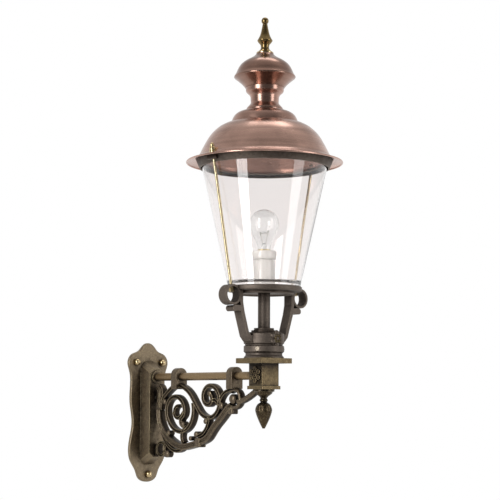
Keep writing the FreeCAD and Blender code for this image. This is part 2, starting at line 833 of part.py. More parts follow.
def roof_neck():
    base = shoulder_top
    outer = [
        (neck_bead_r - 0.8, base), (neck_bead_r - 3.5, base + 6), (roof_neck_r + 3.5, base + 9.5),
        (roof_neck_r + 0.2, base + 14.5), (roof_neck_r, base + 20), (roof_neck_r + 0.4, base + 26.5),
        (roof_neck_r + 3, neck_top - 15), (neck_bead_r - 3, neck_top - 11),
        (neck_bead_r - 1, neck_top - 8.8), (neck_bead_r, neck_top - 4), (neck_bead_r, neck_top),
    ]
    inner = offset_points(outer, copper_wall)
    inner[0] = (outer[0][0] - copper_wall, base)
    inner[-1] = (outer[-1][0] - copper_wall, neck_top)
    return spun(spun_face(outer, inner))


def roof_cap():
    base = neck_top
    widest = base + cap_widest
    outer = [
        (cap_foot_r, base), (cap_foot_r + 5.3, base + 6.5), (cap_foot_r + 14.1, base + 14.6),
        (cap_r - 1.8, widest - 2), (cap_r, widest), (cap_r - 1.7, widest + 4), (cap_r - 6.8, widest + 14.5),
        (cap_r - 13.9, widest + 26.2), (cap_r - 20, widest + 31.7), (cap_crown_r + 16.3, widest + 37.5),
        (cap_crown_r + 3.5, cap_top - 5), (cap_crown_r, cap_top - 1),
    ]
    inner = offset_points(outer, copper_wall)
    inner[0] = (cap_foot_r - copper_wall - 1, base)
    land = tube_ring(cap_crown_r + 0.2, tie_r + bore_gap, inner[-1][1], cap_top)
    return fuse_all([spun(spun_face(outer, inner)), land])


def cap_washer():
    return turned([
        (tie_r + bore_gap, cap_top), (washer_r, cap_top), (washer_r, cap_top + 2),
        (washer_r - 4, finial_base), (tie_r + bore_gap, finial_base),
    ])


def top_finial():
    base = finial_base
    top = base + finial_height
    ball_z = top - finial_ball_r
    stem = [
        (0, base), (9.4, base), (9.4, base + 4), (finial_r, base + 23), (finial_r - 1.5, base + 27),
        (finial_r - 5.1, base + 34), (finial_ball_r - 2, ball_z - 7), (0, ball_z - 7),
    ]
    ball = move_to_axis(Part.makeSphere(finial_ball_r, V(0, 0, ball_z)))
    return fuse_all([turned(stem), ball]).cut(upright(tie_r, base - 1, base + tie_thread))


def roof_rod():
    low = dome_lines()[1][-1][1] - clamp_disc_thick - tie_nut_height - 3
    return upright(tie_r, low, finial_base + tie_thread)


def roof_clamp_disc():
    high = dome_lines()[1][-1][1]
    return tube_ring(clamp_disc_r, tie_r + bore_gap, high - clamp_disc_thick, high)


def roof_rod_nut():
    high = dome_lines()[1][-1][1] - clamp_disc_thick
    nut = hexagon(tie_nut_r, tie_nut_height, V(arm_reach, 0, high - tie_nut_height), V(0, 0, 1))
    return nut.cut(upright(tie_r + bore_gap, high - tie_nut_height - 1, high + 1))


# Tie rods and their nuts


def washer_height_on_rod(side):
    """How far up a rod its washer's top lies: just above the brim."""
    foot, way = rod_axis(side)
    brim_height = dome_lines()[0][3][1]
    return (brim_height + rod_washer_rise - foot.z) / way.z


def tie_rod(side):
    foot, way = rod_axis(side)
    length = washer_height_on_rod(side) + roof_nut_height * 0.6
    return Part.makeCylinder(rod_r, length, foot, way)


def rod_foot_nuts():
    """Hexagon nuts inside the fork's eyes, shaped to the round of the eye."""
    nuts = []
    for side in (-1, 1):
        foot, way = rod_axis(side)
        nut = hexagon(foot_nut_r, foot_nut_height + 10, foot + way * 1.0, way).common(eye_hole(side))
        nuts.append(nut.cut(rod_bore(side)))
    return Part.makeCompound(nuts)


def rod_washers():
    washers = []
    space = over_dome(dome_top_z)
    for side in (-1, 1):
        foot, way = rod_axis(side)
        high = washer_height_on_rod(side)
        washer = Part.makeCylinder(rod_washer_r, 20, foot + way * (high - 20), way).common(space)
        washers.append(washer.cut(rod_bore(side)))
    return Part.makeCompound(washers)


def roof_nuts():
    """Brass cap nuts, a round skirt under a domed crown."""
    nuts = []
    for side in (-1, 1):
        foot, way = rod_axis(side)
        base = foot + way * washer_height_on_rod(side)
        skirt_height = roof_nut_height - roof_nut_r
        skirt = Part.makeCylinder(roof_nut_r, skirt_height, base, way)
        crown = Part.makeSphere(roof_nut_r, base + way * skirt_height)
        body = skirt.fuse(crown).removeSplitter()
        below = Part.makeCylinder(4 * roof_nut_r, 4 * roof_nut_r, base, way * -1)
        bore = Part.makeCylinder(rod_r + rod_gap, roof_nut_height * 0.6, base, way)
        nuts.append(body.cut(below).cut(bore))
    return Part.makeCompound(nuts)


# Lampholder and lamp


def lampholder_base():
    return turned([
        (wire_way_r + 2, holder_bottom), (holder_r, holder_bottom), (holder_r, holder_joint),
        (socket_r, holder_joint), (socket_r, socket_floor), (lead_r, socket_floor),
        (lead_r, socket_floor - 6), (wire_way_r + 2, socket_floor - 6),
    ])


def lampholder_ring():
    top = holder_joint + holder_ring_height
    return turned([
        (socket_r, holder_joint), (holder_ring_r, holder_joint), (holder_ring_r, top - 2),
        (holder_ring_r - 2, top), (socket_r, top),
    ])


def socket_shell():
    return tube_ring(socket_r, socket_r - socket_wall, socket_floor, holder_joint + holder_ring_height - 2)


def socket_contact():
    """The spring tongue in the socket's floor."""
    plate_top_z = lamp_base - tongue_height
    tongue = upright(tongue_r, plate_top_z, lamp_base)
    return upright(contact_r, socket_floor, plate_top_z).fuse(tongue)


def lamp_lines():
    outer = [
        (lamp_neck_r, lamp_cap_top - 6), (lamp_neck_r + 0.3, lamp_cap_top),
        (lamp_neck_r + 2.4, lamp_cap_top + 9),
        (lamp_r * 0.7, lamp_widest - lamp_shoulder_height * 0.53),
        (lamp_r * 0.92, lamp_widest - lamp_shoulder_height * 0.25), (lamp_r, lamp_widest),
        (lamp_r * 0.9, lamp_widest + lamp_crown_height * 0.47),
        (lamp_r * 0.58, lamp_top - lamp_crown_height * 0.18),
        (lamp_r * 0.2, lamp_top - lamp_crown_height * 0.02), (0, lamp_top),
    ]
    inner = offset_points(outer, lamp_wall)
    inner[0] = (lamp_neck_r - lamp_wall, outer[0][1])
    inner[-1] = (0, lamp_top - lamp_wall)
    return outer, inner


def bulb_glass():
    outer, inner = lamp_lines()
    return spun(spun_face(outer, inner))


def bulb_cap():
    wall = lamp_cap_wall
    return turned([
        (5, lamp_cap_low), (lamp_cap_r - 1, lamp_cap_low), (lamp_cap_r, lamp_cap_low + 1.5),
        (lamp_cap_r, lamp_cap_top), (lamp_cap_r - wall, lamp_cap_top),
        (lamp_cap_r - wall, lamp_cap_low + 2), (5, lamp_cap_low + 2),
    ])


def bulb_insulator():
    return turned([(0, lamp_base + 1), (4.5, lamp_base + 1), (9, lamp_cap_low), (0, lamp_cap_low)])


def bulb_contact():
    return upright(4.5, lamp_base, lamp_base + 1)


def bulb_mount():
    """The glass stem in the lamp: a flare sealed to the neck, a pinched rod and a button."""
    low = lamp_cap_top - 6
    return turned([
        (0, low + 4), (lamp_neck_r - lamp_wall - 3, low), (lamp_neck_r - lamp_wall, low),
        (6.5, low + 7), (4.5, low + 16), (1.8, low + 19), (1.8, low + 40), (3.0, low + 42),
        (3.0, low + 44), (0, low + 45),
    ])


def bulb_filament():
    """Two lead wires from the stem and the filament that hangs between them."""
    low = lamp_cap_top + 8
    high = low + 30
    wire_r = 0.6
    foot, spread, drop = 3.5, 13.0, 5.0
    points = [(-foot, low), (-spread, high), (-spread / 2, high - drop), (0, high),
              (spread / 2, high - drop), (spread, high), (foot, low)]
    places = [V(arm_reach + x, 0, z) for x, z in points]
    wires = []
    for a, b in zip(places, places[1:]):
        wires.append(Part.makeCylinder(wire_r, (b - a).Length, a, b - a))
    wires += [Part.makeSphere(wire_r, p) for p in places]
    return fuse_all(wires).cut(bulb_mount())


# Leads


def supply_lead():
    """The lead from the terminals, resting in the tube and turned up on the lantern's axis."""
    low = -(tube_ir - lead_r - lead_gap)
    start = V(tube_start - lead_tail_bend, 0, pocket_top - lead_gap)
    rise = V(start.x, 0, low - lead_tail_bend)
    tail = V(start.x + lead_tail_bend, 0, rise.z)
    turn = V(arm_reach - lead_bend, 0, low + lead_bend)
    up = V(arm_reach, 0, turn.z)
    slant = math.sqrt(0.5)
    path = Part.Wire([
        Part.LineSegment(start, rise).toShape(),
        Part.Arc(rise, tail + V(-slant, 0, slant) * lead_tail_bend, V(tail.x, 0, low)).toShape(),
        Part.LineSegment(V(tail.x, 0, low), V(turn.x, 0, low)).toShape(),
        Part.Arc(V(turn.x, 0, low), turn + V(slant, 0, -slant) * lead_bend, up).toShape(),
        Part.LineSegment(up, V(arm_reach, 0, lead_joint_z)).toShape(),
    ])
    section = Part.Wire(Part.makeCircle(lead_r, start, V(0, 0, 1)))
    return path.makePipeShell([section], True, False)


def lamp_lead():
    return upright(lead_r, lead_joint_z, socket_floor - 6)


def main():
    os.makedirs("parts", exist_ok=True)
    block = junction_block()
    finial = drop_finial()
    fork = lantern_fork()
    nodes = {
        "wall_plate": wall_plate(),
        "plate_nuts": plate_nuts(),
        "terminal_block": terminal_block(),
        "arm_tube": arm_tube(),
        "scroll_bracket": scroll_bracket(block, finial),
        "bracket_bolts": bracket_bolts(),
        "junction_block": block,
        "drop_finial": finial,
        "supply_lead": supply_lead(),
        "lantern_fork": fork,
        "set_screws": set_screws(),
        "stem_tube": stem_tube(),
        "glass_tray": glass_tray(fork),
        "tray_gasket": tray_gasket(),
        "glass_cone": glass_cone(),
        "ring_gasket": ring_gasket(),
        "roof_ring": roof_ring(),
        "roof_dome": roof_dome(),
        "roof_shoulder": roof_shoulder(),
        "roof_neck": roof_neck(),
        "roof_cap": roof_cap(),
        "cap_washer": cap_washer(),
        "top_finial": top_finial(),
        "roof_rod": roof_rod(),
        "roof_clamp_disc": roof_clamp_disc(),
        "roof_rod_nut": roof_rod_nut(),
        "tie_rod_left": tie_rod(-1),
        "tie_rod_right": tie_rod(1),
        "rod_foot_nuts": rod_foot_nuts(),
        "rod_washers": rod_washers(),
        "roof_nuts": roof_nuts(),
        "lampholder_base": lampholder_base(),
        "lampholder_ring": lampholder_ring(),
        "socket_shell": socket_shell(),
        "socket_contact": socket_contact(),
        "bulb_glass": bulb_glass(),
        "bulb_cap": bulb_cap(),
        "bulb_insulator": bulb_insulator(),
        "bulb_contact": bulb_contact(),
        "bulb_mount": bulb_mount(),
        "bulb_filament": bulb_filament(),
        "lamp_lead": lamp_lead(),
    }
    for name, shape in nodes.items():
        print(name, len(shape.Solids), "solids", round(shape.Volume / 1000, 2), "cm3", shape.isValid())
        shape.exportStep(os.path.join("parts", name + ".step"))


main()
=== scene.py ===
import json
import math

import bmesh
import bpy
from bpy.props import FloatProperty, FloatVectorProperty, IntProperty, PointerProperty
from mathutils import Matrix, Vector
from mathutils.geometry import interpolate_bezier


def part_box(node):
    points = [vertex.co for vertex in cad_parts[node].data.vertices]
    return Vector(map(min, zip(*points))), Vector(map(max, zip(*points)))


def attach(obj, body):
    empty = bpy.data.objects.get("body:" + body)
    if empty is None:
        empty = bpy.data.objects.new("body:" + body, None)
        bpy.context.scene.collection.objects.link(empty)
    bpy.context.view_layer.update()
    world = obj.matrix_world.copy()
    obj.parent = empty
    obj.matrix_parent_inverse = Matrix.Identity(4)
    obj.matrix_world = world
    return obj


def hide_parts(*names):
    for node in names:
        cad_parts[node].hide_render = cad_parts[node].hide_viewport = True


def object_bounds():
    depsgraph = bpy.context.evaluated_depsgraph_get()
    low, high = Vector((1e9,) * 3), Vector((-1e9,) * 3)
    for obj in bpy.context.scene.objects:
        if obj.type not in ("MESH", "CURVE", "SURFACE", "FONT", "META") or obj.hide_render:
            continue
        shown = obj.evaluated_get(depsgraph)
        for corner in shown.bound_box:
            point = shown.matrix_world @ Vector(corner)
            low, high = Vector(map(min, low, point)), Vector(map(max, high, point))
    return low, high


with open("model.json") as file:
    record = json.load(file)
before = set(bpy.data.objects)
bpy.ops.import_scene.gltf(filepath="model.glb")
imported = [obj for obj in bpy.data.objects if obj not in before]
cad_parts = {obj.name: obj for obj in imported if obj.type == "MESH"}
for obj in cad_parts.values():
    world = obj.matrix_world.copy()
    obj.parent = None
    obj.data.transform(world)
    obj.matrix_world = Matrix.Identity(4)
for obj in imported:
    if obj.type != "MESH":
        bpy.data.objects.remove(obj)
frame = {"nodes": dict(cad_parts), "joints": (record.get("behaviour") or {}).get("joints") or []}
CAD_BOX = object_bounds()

bl_info = {
    "name": "Outdoor wall light",
    "version": (1, 0, 0),
    "blender": (4, 5, 0),
    "location": "View3D > Sidebar > Wall light",
    "description": "Dresses a cast wall bracket and its copper lantern around a fixed frame",
    "category": "Object",
}

MM = 0.001
SWIVEL = frame["joints"][0]["pos_m"]
AXIS = Vector((SWIVEL[0], SWIVEL[1], 0))


def linear(hex_colour):
    """A colour written as sRGB hex, as linear red, green and blue."""
    channels = [int(hex_colour[i:i + 2], 16) / 255 for i in (1, 3, 5)]
    return [c / 12.92 if c <= 0.04045 else ((c + 0.055) / 1.055) ** 2.4 for c in channels]


def colour(name, hex_colour, description):
    return FloatVectorProperty(name=name, description=description, subtype="COLOR", size=3,
                               min=0, max=1, default=linear(hex_colour))


def length(name, metres, least, description):
    return FloatProperty(name=name, description=description, default=metres, min=least,
                         subtype="DISTANCE", unit="LENGTH")


def angle(name, degrees, description):
    return FloatProperty(name=name, description=description, default=math.radians(degrees),
                         subtype="ANGLE", unit="ROTATION")


class WallLightFinishes(bpy.types.PropertyGroup):
    """Colours of the metals and the glass."""

    bronze: colour("Bronze", "#8b7c67", "Antique bronze of the wall plate")
    scroll: colour("Scroll bronze", "#6f6253", "Browner bronze of the scroll bracket")
    block: colour("Block bronze", "#867456", "Brassier bronze of the junction block")
    acorn: colour("Finial bronze", "#4f4230", "Dark bronze of the drop finial")
    # dark patina in hollows, also painted shade under nearby parts and on the bracket's sides below the arm
    bronze_patina_and_shade: colour("Bronze in hollows", "#2f2924", "Dark patina that stays in hollows")
    bronze_worn: colour("Bronze on edges", "#c9b98f", "Rubbed bronze on edges and high places")
    fork: colour("Fork bronze", "#6e645c", "Darker bronze of the fork, the tray and the roof's ring")
    # dark patina in hollows, also painted shade under nearby parts
    fork_patina_and_shade: colour("Fork bronze in hollows", "#382f29", "Patina in the hollows of the darker bronze")
    fork_worn: colour("Fork bronze on edges", "#9c8e7e", "Rubbed edges of the darker bronze")
    # painted light: the dome's copper is lightened
    copper: colour("Copper", "#d0a898", "Satin spun copper of the dome")
    # painted shade: the cap's copper is darkened to dim the light on its top
    cap_copper: colour("Cap copper", "#a37f70", "Browner copper of the roof's cap")
    neck_copper: colour("Neck copper", "#bf9889", "Copper of the shoulder and the neck")
    # painted shade: the copper under the roof is darkened
    inner_copper: colour("Inner copper", "#906e61", "Duller copper under the roof")
    arm: colour("Arm bronze", "#9c8464", "Warmer bronze of the arm's tube")
    brass: colour("Brass", "#d8c195", "Polished brass of the nuts and washers")
    glass: colour("Glass", "#faf7f6", "Clear glass of the cone")
    bulb_glass: colour("Bulb glass", "#fdfefe", "Clear glass of the lamp")
    rod_brass: colour("Rod brass", "#d6c6a2", "Paler brass of the tie rods")
    brass_aged: colour("Aged brass", "#8d774f", "Older, darker brass of the finial")
    porcelain: colour("Porcelain", "#c1bfbb", "White glazed porcelain of the lampholder")


class WallLightScroll(bpy.types.PropertyGroup):
    """Sizes of the cast scroll bracket."""

    thick: length("Thickness", 0.016, 0.004, "Thickness of the bracket across the mirror plane")
    band: length("Band", 0.0098, 0.004, "Width of the scrolls' bands")
    bow: length("Bow", 0.0140, 0.006, "Width of the bow along the bottom")
    lobes: IntProperty(name="Lobes", description="Lobes round the drop finial", default=6, min=3, max=16)


class WallLightRoof(bpy.types.PropertyGroup):
    """Sizes of the spun copper roof."""

    wall: length("Sheet", 0.0015, 0.0005, "Thickness of the copper sheet")
    wire: length("Wire", 0.0017, 0.0005, "Radius of the wire rolled into the brim's edge")


class WallLightGlass(bpy.types.PropertyGroup):
    """Sizes of the glass cone."""

    wall: length("Wall", 0.0026, 0.001, "Thickness of the glass")
    foot_ring: length("Foot ring", 0.007, 0.003, "Height of the thick ring at the glass's foot")


class WallLightStage(bpy.types.PropertyGroup):
    """The camera and the studio."""

    focal_px: FloatProperty(name="Focal length", description="Focal length in pixels of a 500 pixel frame",
                            default=1450.0, min=100.0)
    distance: length("Distance", 2.958, 0.5, "From the lantern's axis to the camera")
    height: FloatProperty(name="Height", description="Height of the camera above the arm",
                          default=-0.0496, subtype="DISTANCE", unit="LENGTH")
    azimuth: angle("Azimuth", 48.5, "Where the camera stands, from straight at the side")
    turn: angle("Turn", 0.566, "How far the camera looks to the side of the lantern")
    pitch: angle("Pitch", 5.906, "How far the camera looks up")
    roll: angle("Roll", 0.26, "Turn of the camera about its view")
    room: FloatProperty(name="Room light", description="Strength of the plain light on the camera's side",
                        default=0.13, min=0.0)


# Materials


def connect(tree, node, links):
    """Feeds a node's inputs from sockets, from other nodes' first outputs in use or with plain values."""
    for socket, source in links.items():
        if isinstance(source, bpy.types.Node):
            source = next(output for output in source.outputs if output.enabled)
        if isinstance(source, bpy.types.NodeSocket):
            tree.links.new(source, node.inputs[socket])
        else:
            node.inputs[socket].default_value = source


def add(tree, kind, links=None, **settings):
    """A new node with its settings, its plain inputs and its links."""
    node = tree.nodes.new(kind)
    for key, value in settings.items():
        setattr(node, key, value)
    connect(tree, node, links or {})
    return node


def new_material(name):
    """A material with its tree, its Principled shader and the coordinates of the piece."""
    material = bpy.data.materials.new(name)
    material.use_nodes = True
    tree = material.node_tree
    return material, tree, tree.nodes["Principled BSDF"], add(tree, "ShaderNodeTexCoord").outputs["Object"]


def per_size(millimetres):
    """The texture scale that makes a pattern's cells this wide."""
    return 1 / (millimetres * MM)


def rgba(values, share=1):
    """A colour with its alpha, or a share of that colour."""
    return (*(value * share for value in values), 1)


def antique_bronze(name, body, dark, worn, roughness, wiped_and_lit_from, faces_from=None):
    """Cast bronze, blackened and wiped: brown where a cloth reaches, dark in hollows as patina and as
    painted shade, bright on edges.
    """
    material, tree, shader, place = new_material(name)
    mottle = add(tree, "ShaderNodeTexNoise", {"Vector": place, "Scale": per_size(9), "Detail": 6,
                                              "Roughness": 0.75})
    grain = add(tree, "ShaderNodeTexNoise", {"Vector": place, "Scale": per_size(1.8), "Detail": 3})
    flecks = add(tree, "ShaderNodeTexNoise", {"Vector": place, "Scale": per_size(4), "Detail": 4,
                                              "Roughness": 0.8})
    # patina and painted shade: occlusion darkens hollows and places under or between parts
    reach = add(tree, "ShaderNodeAmbientOcclusion", {"Distance": 32 * MM}, samples=12).outputs["AO"]
    uneven = add(tree, "ShaderNodeMath", {0: mottle, 1: 0.8, 2: reach}, operation="MULTIPLY_ADD")
    wiped_and_lit = add(tree, "ShaderNodeMapRange", {"Value": uneven, "From Min": wiped_and_lit_from,
                                             "From Max": wiped_and_lit_from + 0.5})
    # painted shade on the bracket's sides below the arm
    if faces_from:
        wiped_and_lit = shade_sides_below_arm(tree, place, wiped_and_lit, faces_from)
    soft = add(tree, "ShaderNodeBevel", {"Radius": 1.2 * MM}, samples=6)
    flat = add(tree, "ShaderNodeNewGeometry").outputs["Normal"]
    along = add(tree, "ShaderNodeVectorMath", {0: soft, 1: flat}, operation="DOT_PRODUCT").outputs["Value"]
    edge = add(tree, "ShaderNodeMapRange", {"Value": along, "From Min": 0.99, "From Max": 0.86})
    spots = add(tree, "ShaderNodeMapRange", {"Value": flecks, "From Min": 0.52, "From Max": 0.72,
                                             "To Max": 0.45})
    bright = add(tree, "ShaderNodeMath", {0: edge, 1: spots}, operation="MAXIMUM")
    rubbed = add(tree, "ShaderNodeMath", {0: bright, 1: wiped_and_lit}, operation="MULTIPLY")
    tint = add(tree, "ShaderNodeMix", {"Factor": wiped_and_lit, "A": rgba(dark), "B": rgba(body)}, data_type="RGBA")
    final = add(tree, "ShaderNodeMix", {"Factor": rubbed, "A": tint, "B": rgba(worn)}, data_type="RGBA")
    rough = add(tree, "ShaderNodeMapRange", {"Value": grain, "From Min": 0.3, "From Max": 0.7,
                                             "To Min": roughness - 0.08, "To Max": roughness + 0.1})
    bump = add(tree, "ShaderNodeBump", {"Height": flecks, "Strength": 0.35, "Distance": 0.5 * MM,
                                        "Normal": soft})
    connect(tree, shader, {"Base Color": final, "Roughness": rough, "Normal": bump, "Metallic": 0.9})
    return material


def shade_sides_below_arm(tree, place, wiped_and_lit, faces_from):
    """Paints shade on the bracket's sides below the arm: there only the two faces keep the wiped colour,
    the sides between them stay dark.
    """
    parts = add(tree, "ShaderNodeSeparateXYZ", {0: place}).outputs
    depth = add(tree, "ShaderNodeMath", {0: parts["Y"]}, operation="ABSOLUTE")
    face = add(tree, "ShaderNodeMapRange", {"Value": depth, "From Min": faces_from * MM,
                                            "From Max": (faces_from + 2) * MM, "To Min": 0.12})
    arm = add(tree, "ShaderNodeMapRange", {"Value": parts["Z"], "From Min": SADDLE_FOOT * MM,
                                           "From Max": (SADDLE_FOOT + 3) * MM})
    unshaded = add(tree, "ShaderNodeMath", {0: face, 1: arm}, operation="MAXIMUM")
    return add(tree, "ShaderNodeMath", {0: wiped_and_lit, 1: unshaded}, operation="MULTIPLY")


def ring_coordinates(tree, place):
    """Coordinates about the lantern's axis: a slow turn, the radius and the height."""
    centred = add(tree, "ShaderNodeVectorMath", {0: place, 1: AXIS}, operation="SUBTRACT")
    parts = add(tree, "ShaderNodeSeparateXYZ", {0: centred}).outputs
    turn = add(tree, "ShaderNodeMath", {0: parts["Y"], 1: parts["X"]}, operation="ARCTAN2")
    slow = add(tree, "ShaderNodeMath", {0: turn, 1: 3 * MM}, operation="MULTIPLY")
    level = add(tree, "ShaderNodeVectorMath", {0: centred, 1: (1, 1, 0)}, operation="MULTIPLY")
    radius = add(tree, "ShaderNodeVectorMath", {0: level}, operation="LENGTH").outputs["Value"]
    return add(tree, "ShaderNodeCombineXYZ", {"X": slow, "Y": radius, "Z": parts["Z"]})


def spun_copper(name, body, roughness):
    """Sheet copper spun on a lathe and rubbed satin: fine rings round the axis and a soft wide sheen."""
    material, tree, shader, place = new_material(name)
    rings = ring_coordinates(tree, place)
    fine = add(tree, "ShaderNodeTexNoise", {"Vector": rings, "Scale": per_size(0.9), "Detail": 3,
                                            "Roughness": 0.6})
    broad = add(tree, "ShaderNodeTexNoise", {"Vector": rings, "Scale": per_size(11), "Detail": 2})
    cloud = add(tree, "ShaderNodeTexNoise", {"Vector": place, "Scale": per_size(45), "Detail": 3})
    mixed = add(tree, "ShaderNodeMath", {0: broad, 1: cloud}, operation="MULTIPLY")
    share = add(tree, "ShaderNodeMapRange", {"Value": mixed, "From Min": 0.16, "From Max": 0.36})
    tint = add(tree, "ShaderNodeMix", {"Factor": share, "A": rgba(body, 0.72), "B": rgba(body)},
               data_type="RGBA")
    rough = add(tree, "ShaderNodeMapRange", {"Value": fine, "From Min": 0.3, "From Max": 0.7,
                                             "To Min": roughness - 0.04, "To Max": roughness + 0.04})
    bump = add(tree, "ShaderNodeBump", {"Height": fine, "Strength": 0.03, "Distance": 0.1 * MM})
    connect(tree, shader, {"Base Color": tint, "Roughness": rough, "Normal": bump, "Metallic": 1.0,
                           "Anisotropic": 0.5, "Anisotropic Rotation": 0.25,
                           "Coat Weight": 0.25, "Coat Roughness": 0.2})
    return material


def polished_brass(name, body):
    """Turned and buffed brass under lacquer: warm, with faint polishing marks and thumbed patches."""
    material, tree, shader, place = new_material(name)
    touch = add(tree, "ShaderNodeTexNoise", {"Vector": place, "Scale": per_size(6), "Detail": 4})
    marks = add(tree, "ShaderNodeTexNoise", {"Vector": place, "Scale": per_size(0.8), "Detail": 2})
    share = add(tree, "ShaderNodeMapRange", {"Value": touch, "From Min": 0.3, "From Max": 0.55})
    tint = add(tree, "ShaderNodeMix", {"Factor": share, "A": rgba(body, 0.72), "B": rgba(body)},
               data_type="RGBA")
    rough = add(tree, "ShaderNodeMapRange", {"Value": marks, "From Min": 0.3, "From Max": 0.7,
                                             "To Min": 0.16, "To Max": 0.27})
    connect(tree, shader, {"Base Color": tint, "Roughness": rough, "Metallic": 1.0})
    return material


def clear_glass(name, body, wave_mm):
    """Blown and pressed clear glass: almost no colour, and a faint wave left by the mould."""
    material, tree, shader, place = new_material(name)
    wave = add(tree, "ShaderNodeTexNoise", {"Vector": place, "Scale": per_size(wave_mm), "Detail": 1})
    bump = add(tree, "ShaderNodeBump", {"Height": wave, "Strength": 0.04, "Distance": 0.3 * MM})
    connect(tree, shader, {"Base Color": rgba(body), "Normal": bump, "Roughness": 0.0, "IOR": 1.5,
                           "Specular IOR Level": 0.75, "Transmission Weight": 1.0})
    return material


def glazed_porcelain(name, body):
    """White porcelain under a clear glaze, with tiny specks and a slight unevenness."""
    material, tree, shader, place = new_material(name)
    speck = add(tree, "ShaderNodeTexNoise", {"Vector": place, "Scale": per_size(2.5), "Detail": 4})
    tint = add(tree, "ShaderNodeMix", {"Factor": speck, "A": rgba(body), "B": rgba(body, 0.93)},
               data_type="RGBA")
    wave = add(tree, "ShaderNodeTexNoise", {"Vector": place, "Scale": per_size(9), "Detail": 1})
    bump = add(tree, "ShaderNodeBump", {"Height": wave, "Strength": 0.1, "Distance": 0.3 * MM})
    connect(tree, shader, {"Base Color": tint, "Normal": bump, "Roughness": 0.16, "Coat Weight": 0.4})
    return material


def plain_metal(name, body, roughness, grain_mm):
    """Plated steel or brass as it comes from the press, with a fine uneven sheen."""
    material, tree, shader, place = new_material(name)
    grain = add(tree, "ShaderNodeTexNoise", {"Vector": place, "Scale": per_size(grain_mm), "Detail": 3})
    tint = add(tree, "ShaderNodeMix", {"Factor": grain, "A": rgba(body, 0.8), "B": rgba(body)},
               data_type="RGBA")
    rough = add(tree, "ShaderNodeMapRange", {"Value": grain, "From Min": 0.3, "From Max": 0.7,
                                             "To Min": roughness - 0.06, "To Max": roughness + 0.06})
    connect(tree, shader, {"Base Color": tint, "Roughness": rough, "Metallic": 1.0})
    return material


def moulded_black(name, body, roughness):
    """Black rubber or moulding, with a matt bloom on it."""
    material, tree, shader, place = new_material(name)
    bloom = add(tree, "ShaderNodeTexNoise", {"Vector": place, "Scale": per_size(3), "Detail": 4})
    pale = [channel + 0.02 for channel in body]
    tint = add(tree, "ShaderNodeMix", {"Factor": bloom, "A": rgba(body), "B": rgba(pale)}, data_type="RGBA")
    bump = add(tree, "ShaderNodeBump", {"Height": bloom, "Strength": 0.15, "Distance": 0.2 * MM})
    connect(tree, shader, {"Base Color": tint, "Normal": bump, "Roughness": roughness})
    return material


def finish(name):
    """The material of a name, made on first use."""
    if name in bpy.data.materials:
        return bpy.data.materials[name]
    own = bpy.context.scene.wall_light_finishes
    # dark patina with painted shade, and rubbed edges
    shade_patina_and_wear = own.bronze_patina_and_shade, own.bronze_worn
    makers = {
        "plate_bronze": (antique_bronze, own.bronze, *shade_patina_and_wear, 0.40, 0.86),
        # the scroll's last number paints shade on its sides below the arm
        "scroll_bronze": (antique_bronze, own.scroll, *shade_patina_and_wear, 0.38, 0.74, 4.5),
        "block_bronze": (antique_bronze, own.block, *shade_patina_and_wear, 0.38, 1.03),
        "acorn_bronze": (antique_bronze, own.acorn, *shade_patina_and_wear, 0.30, 1.0),
        "fork_bronze": (antique_bronze, own.fork, own.fork_patina_and_shade, own.fork_worn, 0.54, 0.86),
        "arm_bronze": (antique_bronze, own.arm, *shade_patina_and_wear, 0.38, 0.86),
        "dome_copper": (spun_copper, own.copper, 0.26),
        "cap_copper": (spun_copper, own.cap_copper, 0.23),
        "neck_copper": (spun_copper, own.neck_copper, 0.29),
        "inner_copper": (spun_copper, own.inner_copper, 0.3),
        "buffed_brass": (polished_brass, own.brass),
        "rod_brass": (polished_brass, own.rod_brass),
        "aged_brass": (polished_brass, own.brass_aged),
        "cone_glass": (clear_glass, own.glass, 60),
        "bulb_clear_glass": (clear_glass, own.bulb_glass, 12),
        "white_porcelain": (glazed_porcelain, own.porcelain),
        "screw_steel": (plain_metal, linear("#948a7d"), 0.42, 1.2),
        "zinc_steel": (plain_metal, linear("#a19c94"), 0.36, 1.2),
        "pressed_brass": (plain_metal, linear("#cbb98d"), 0.32, 2.0),
        "black_rubber": (moulded_black, linear("#1b1b1b"), 0.7),
        "black_moulding": (moulded_black, linear("#161616"), 0.4),
    }
    maker, *settings = makers[name]
    return maker(name, *settings)


def dress(node, material_name):
    """Gives a frame node its material."""
    slots = frame["nodes"][node].data.materials
    slots.clear()
    slots.append(finish(material_name))


# Operators


class WallLightOperator(bpy.types.Operator):
    """Shared settings of the operators."""

    bl_options = {"REGISTER", "UNDO"}


class WALL_LIGHT_OT_frame_metals(WallLightOperator):
    """Give the frame's own parts their finishes."""

    bl_idname = "wall_light.frame_metals"
    bl_label = "Frame parts"

    def execute(self, context):
        finishes = {
            "plate_bronze": ["wall_plate"],
            "arm_bronze": ["arm_tube"],
            "block_bronze": ["junction_block"],
            "fork_bronze": ["lantern_fork", "stem_tube"],
            "cap_copper": ["roof_cap"],
            "neck_copper": ["roof_shoulder", "roof_neck"],
            "buffed_brass": ["cap_washer", "rod_foot_nuts"],
            "zinc_steel": ["bracket_bolts", "roof_rod", "roof_clamp_disc", "roof_rod_nut",
                           "socket_contact", "bulb_contact", "bulb_filament"],
            "bulb_clear_glass": ["bulb_glass", "bulb_mount"],
            "pressed_brass": ["socket_shell", "bulb_cap"],
            "black_moulding": ["terminal_block", "bulb_insulator"],
            "black_rubber": ["tray_gasket", "ring_gasket", "supply_lead", "lamp_lead"],
        }
        for material_name, nodes in finishes.items():
            for node in nodes:
                dress(node, material_name)
        return {"FINISHED"}


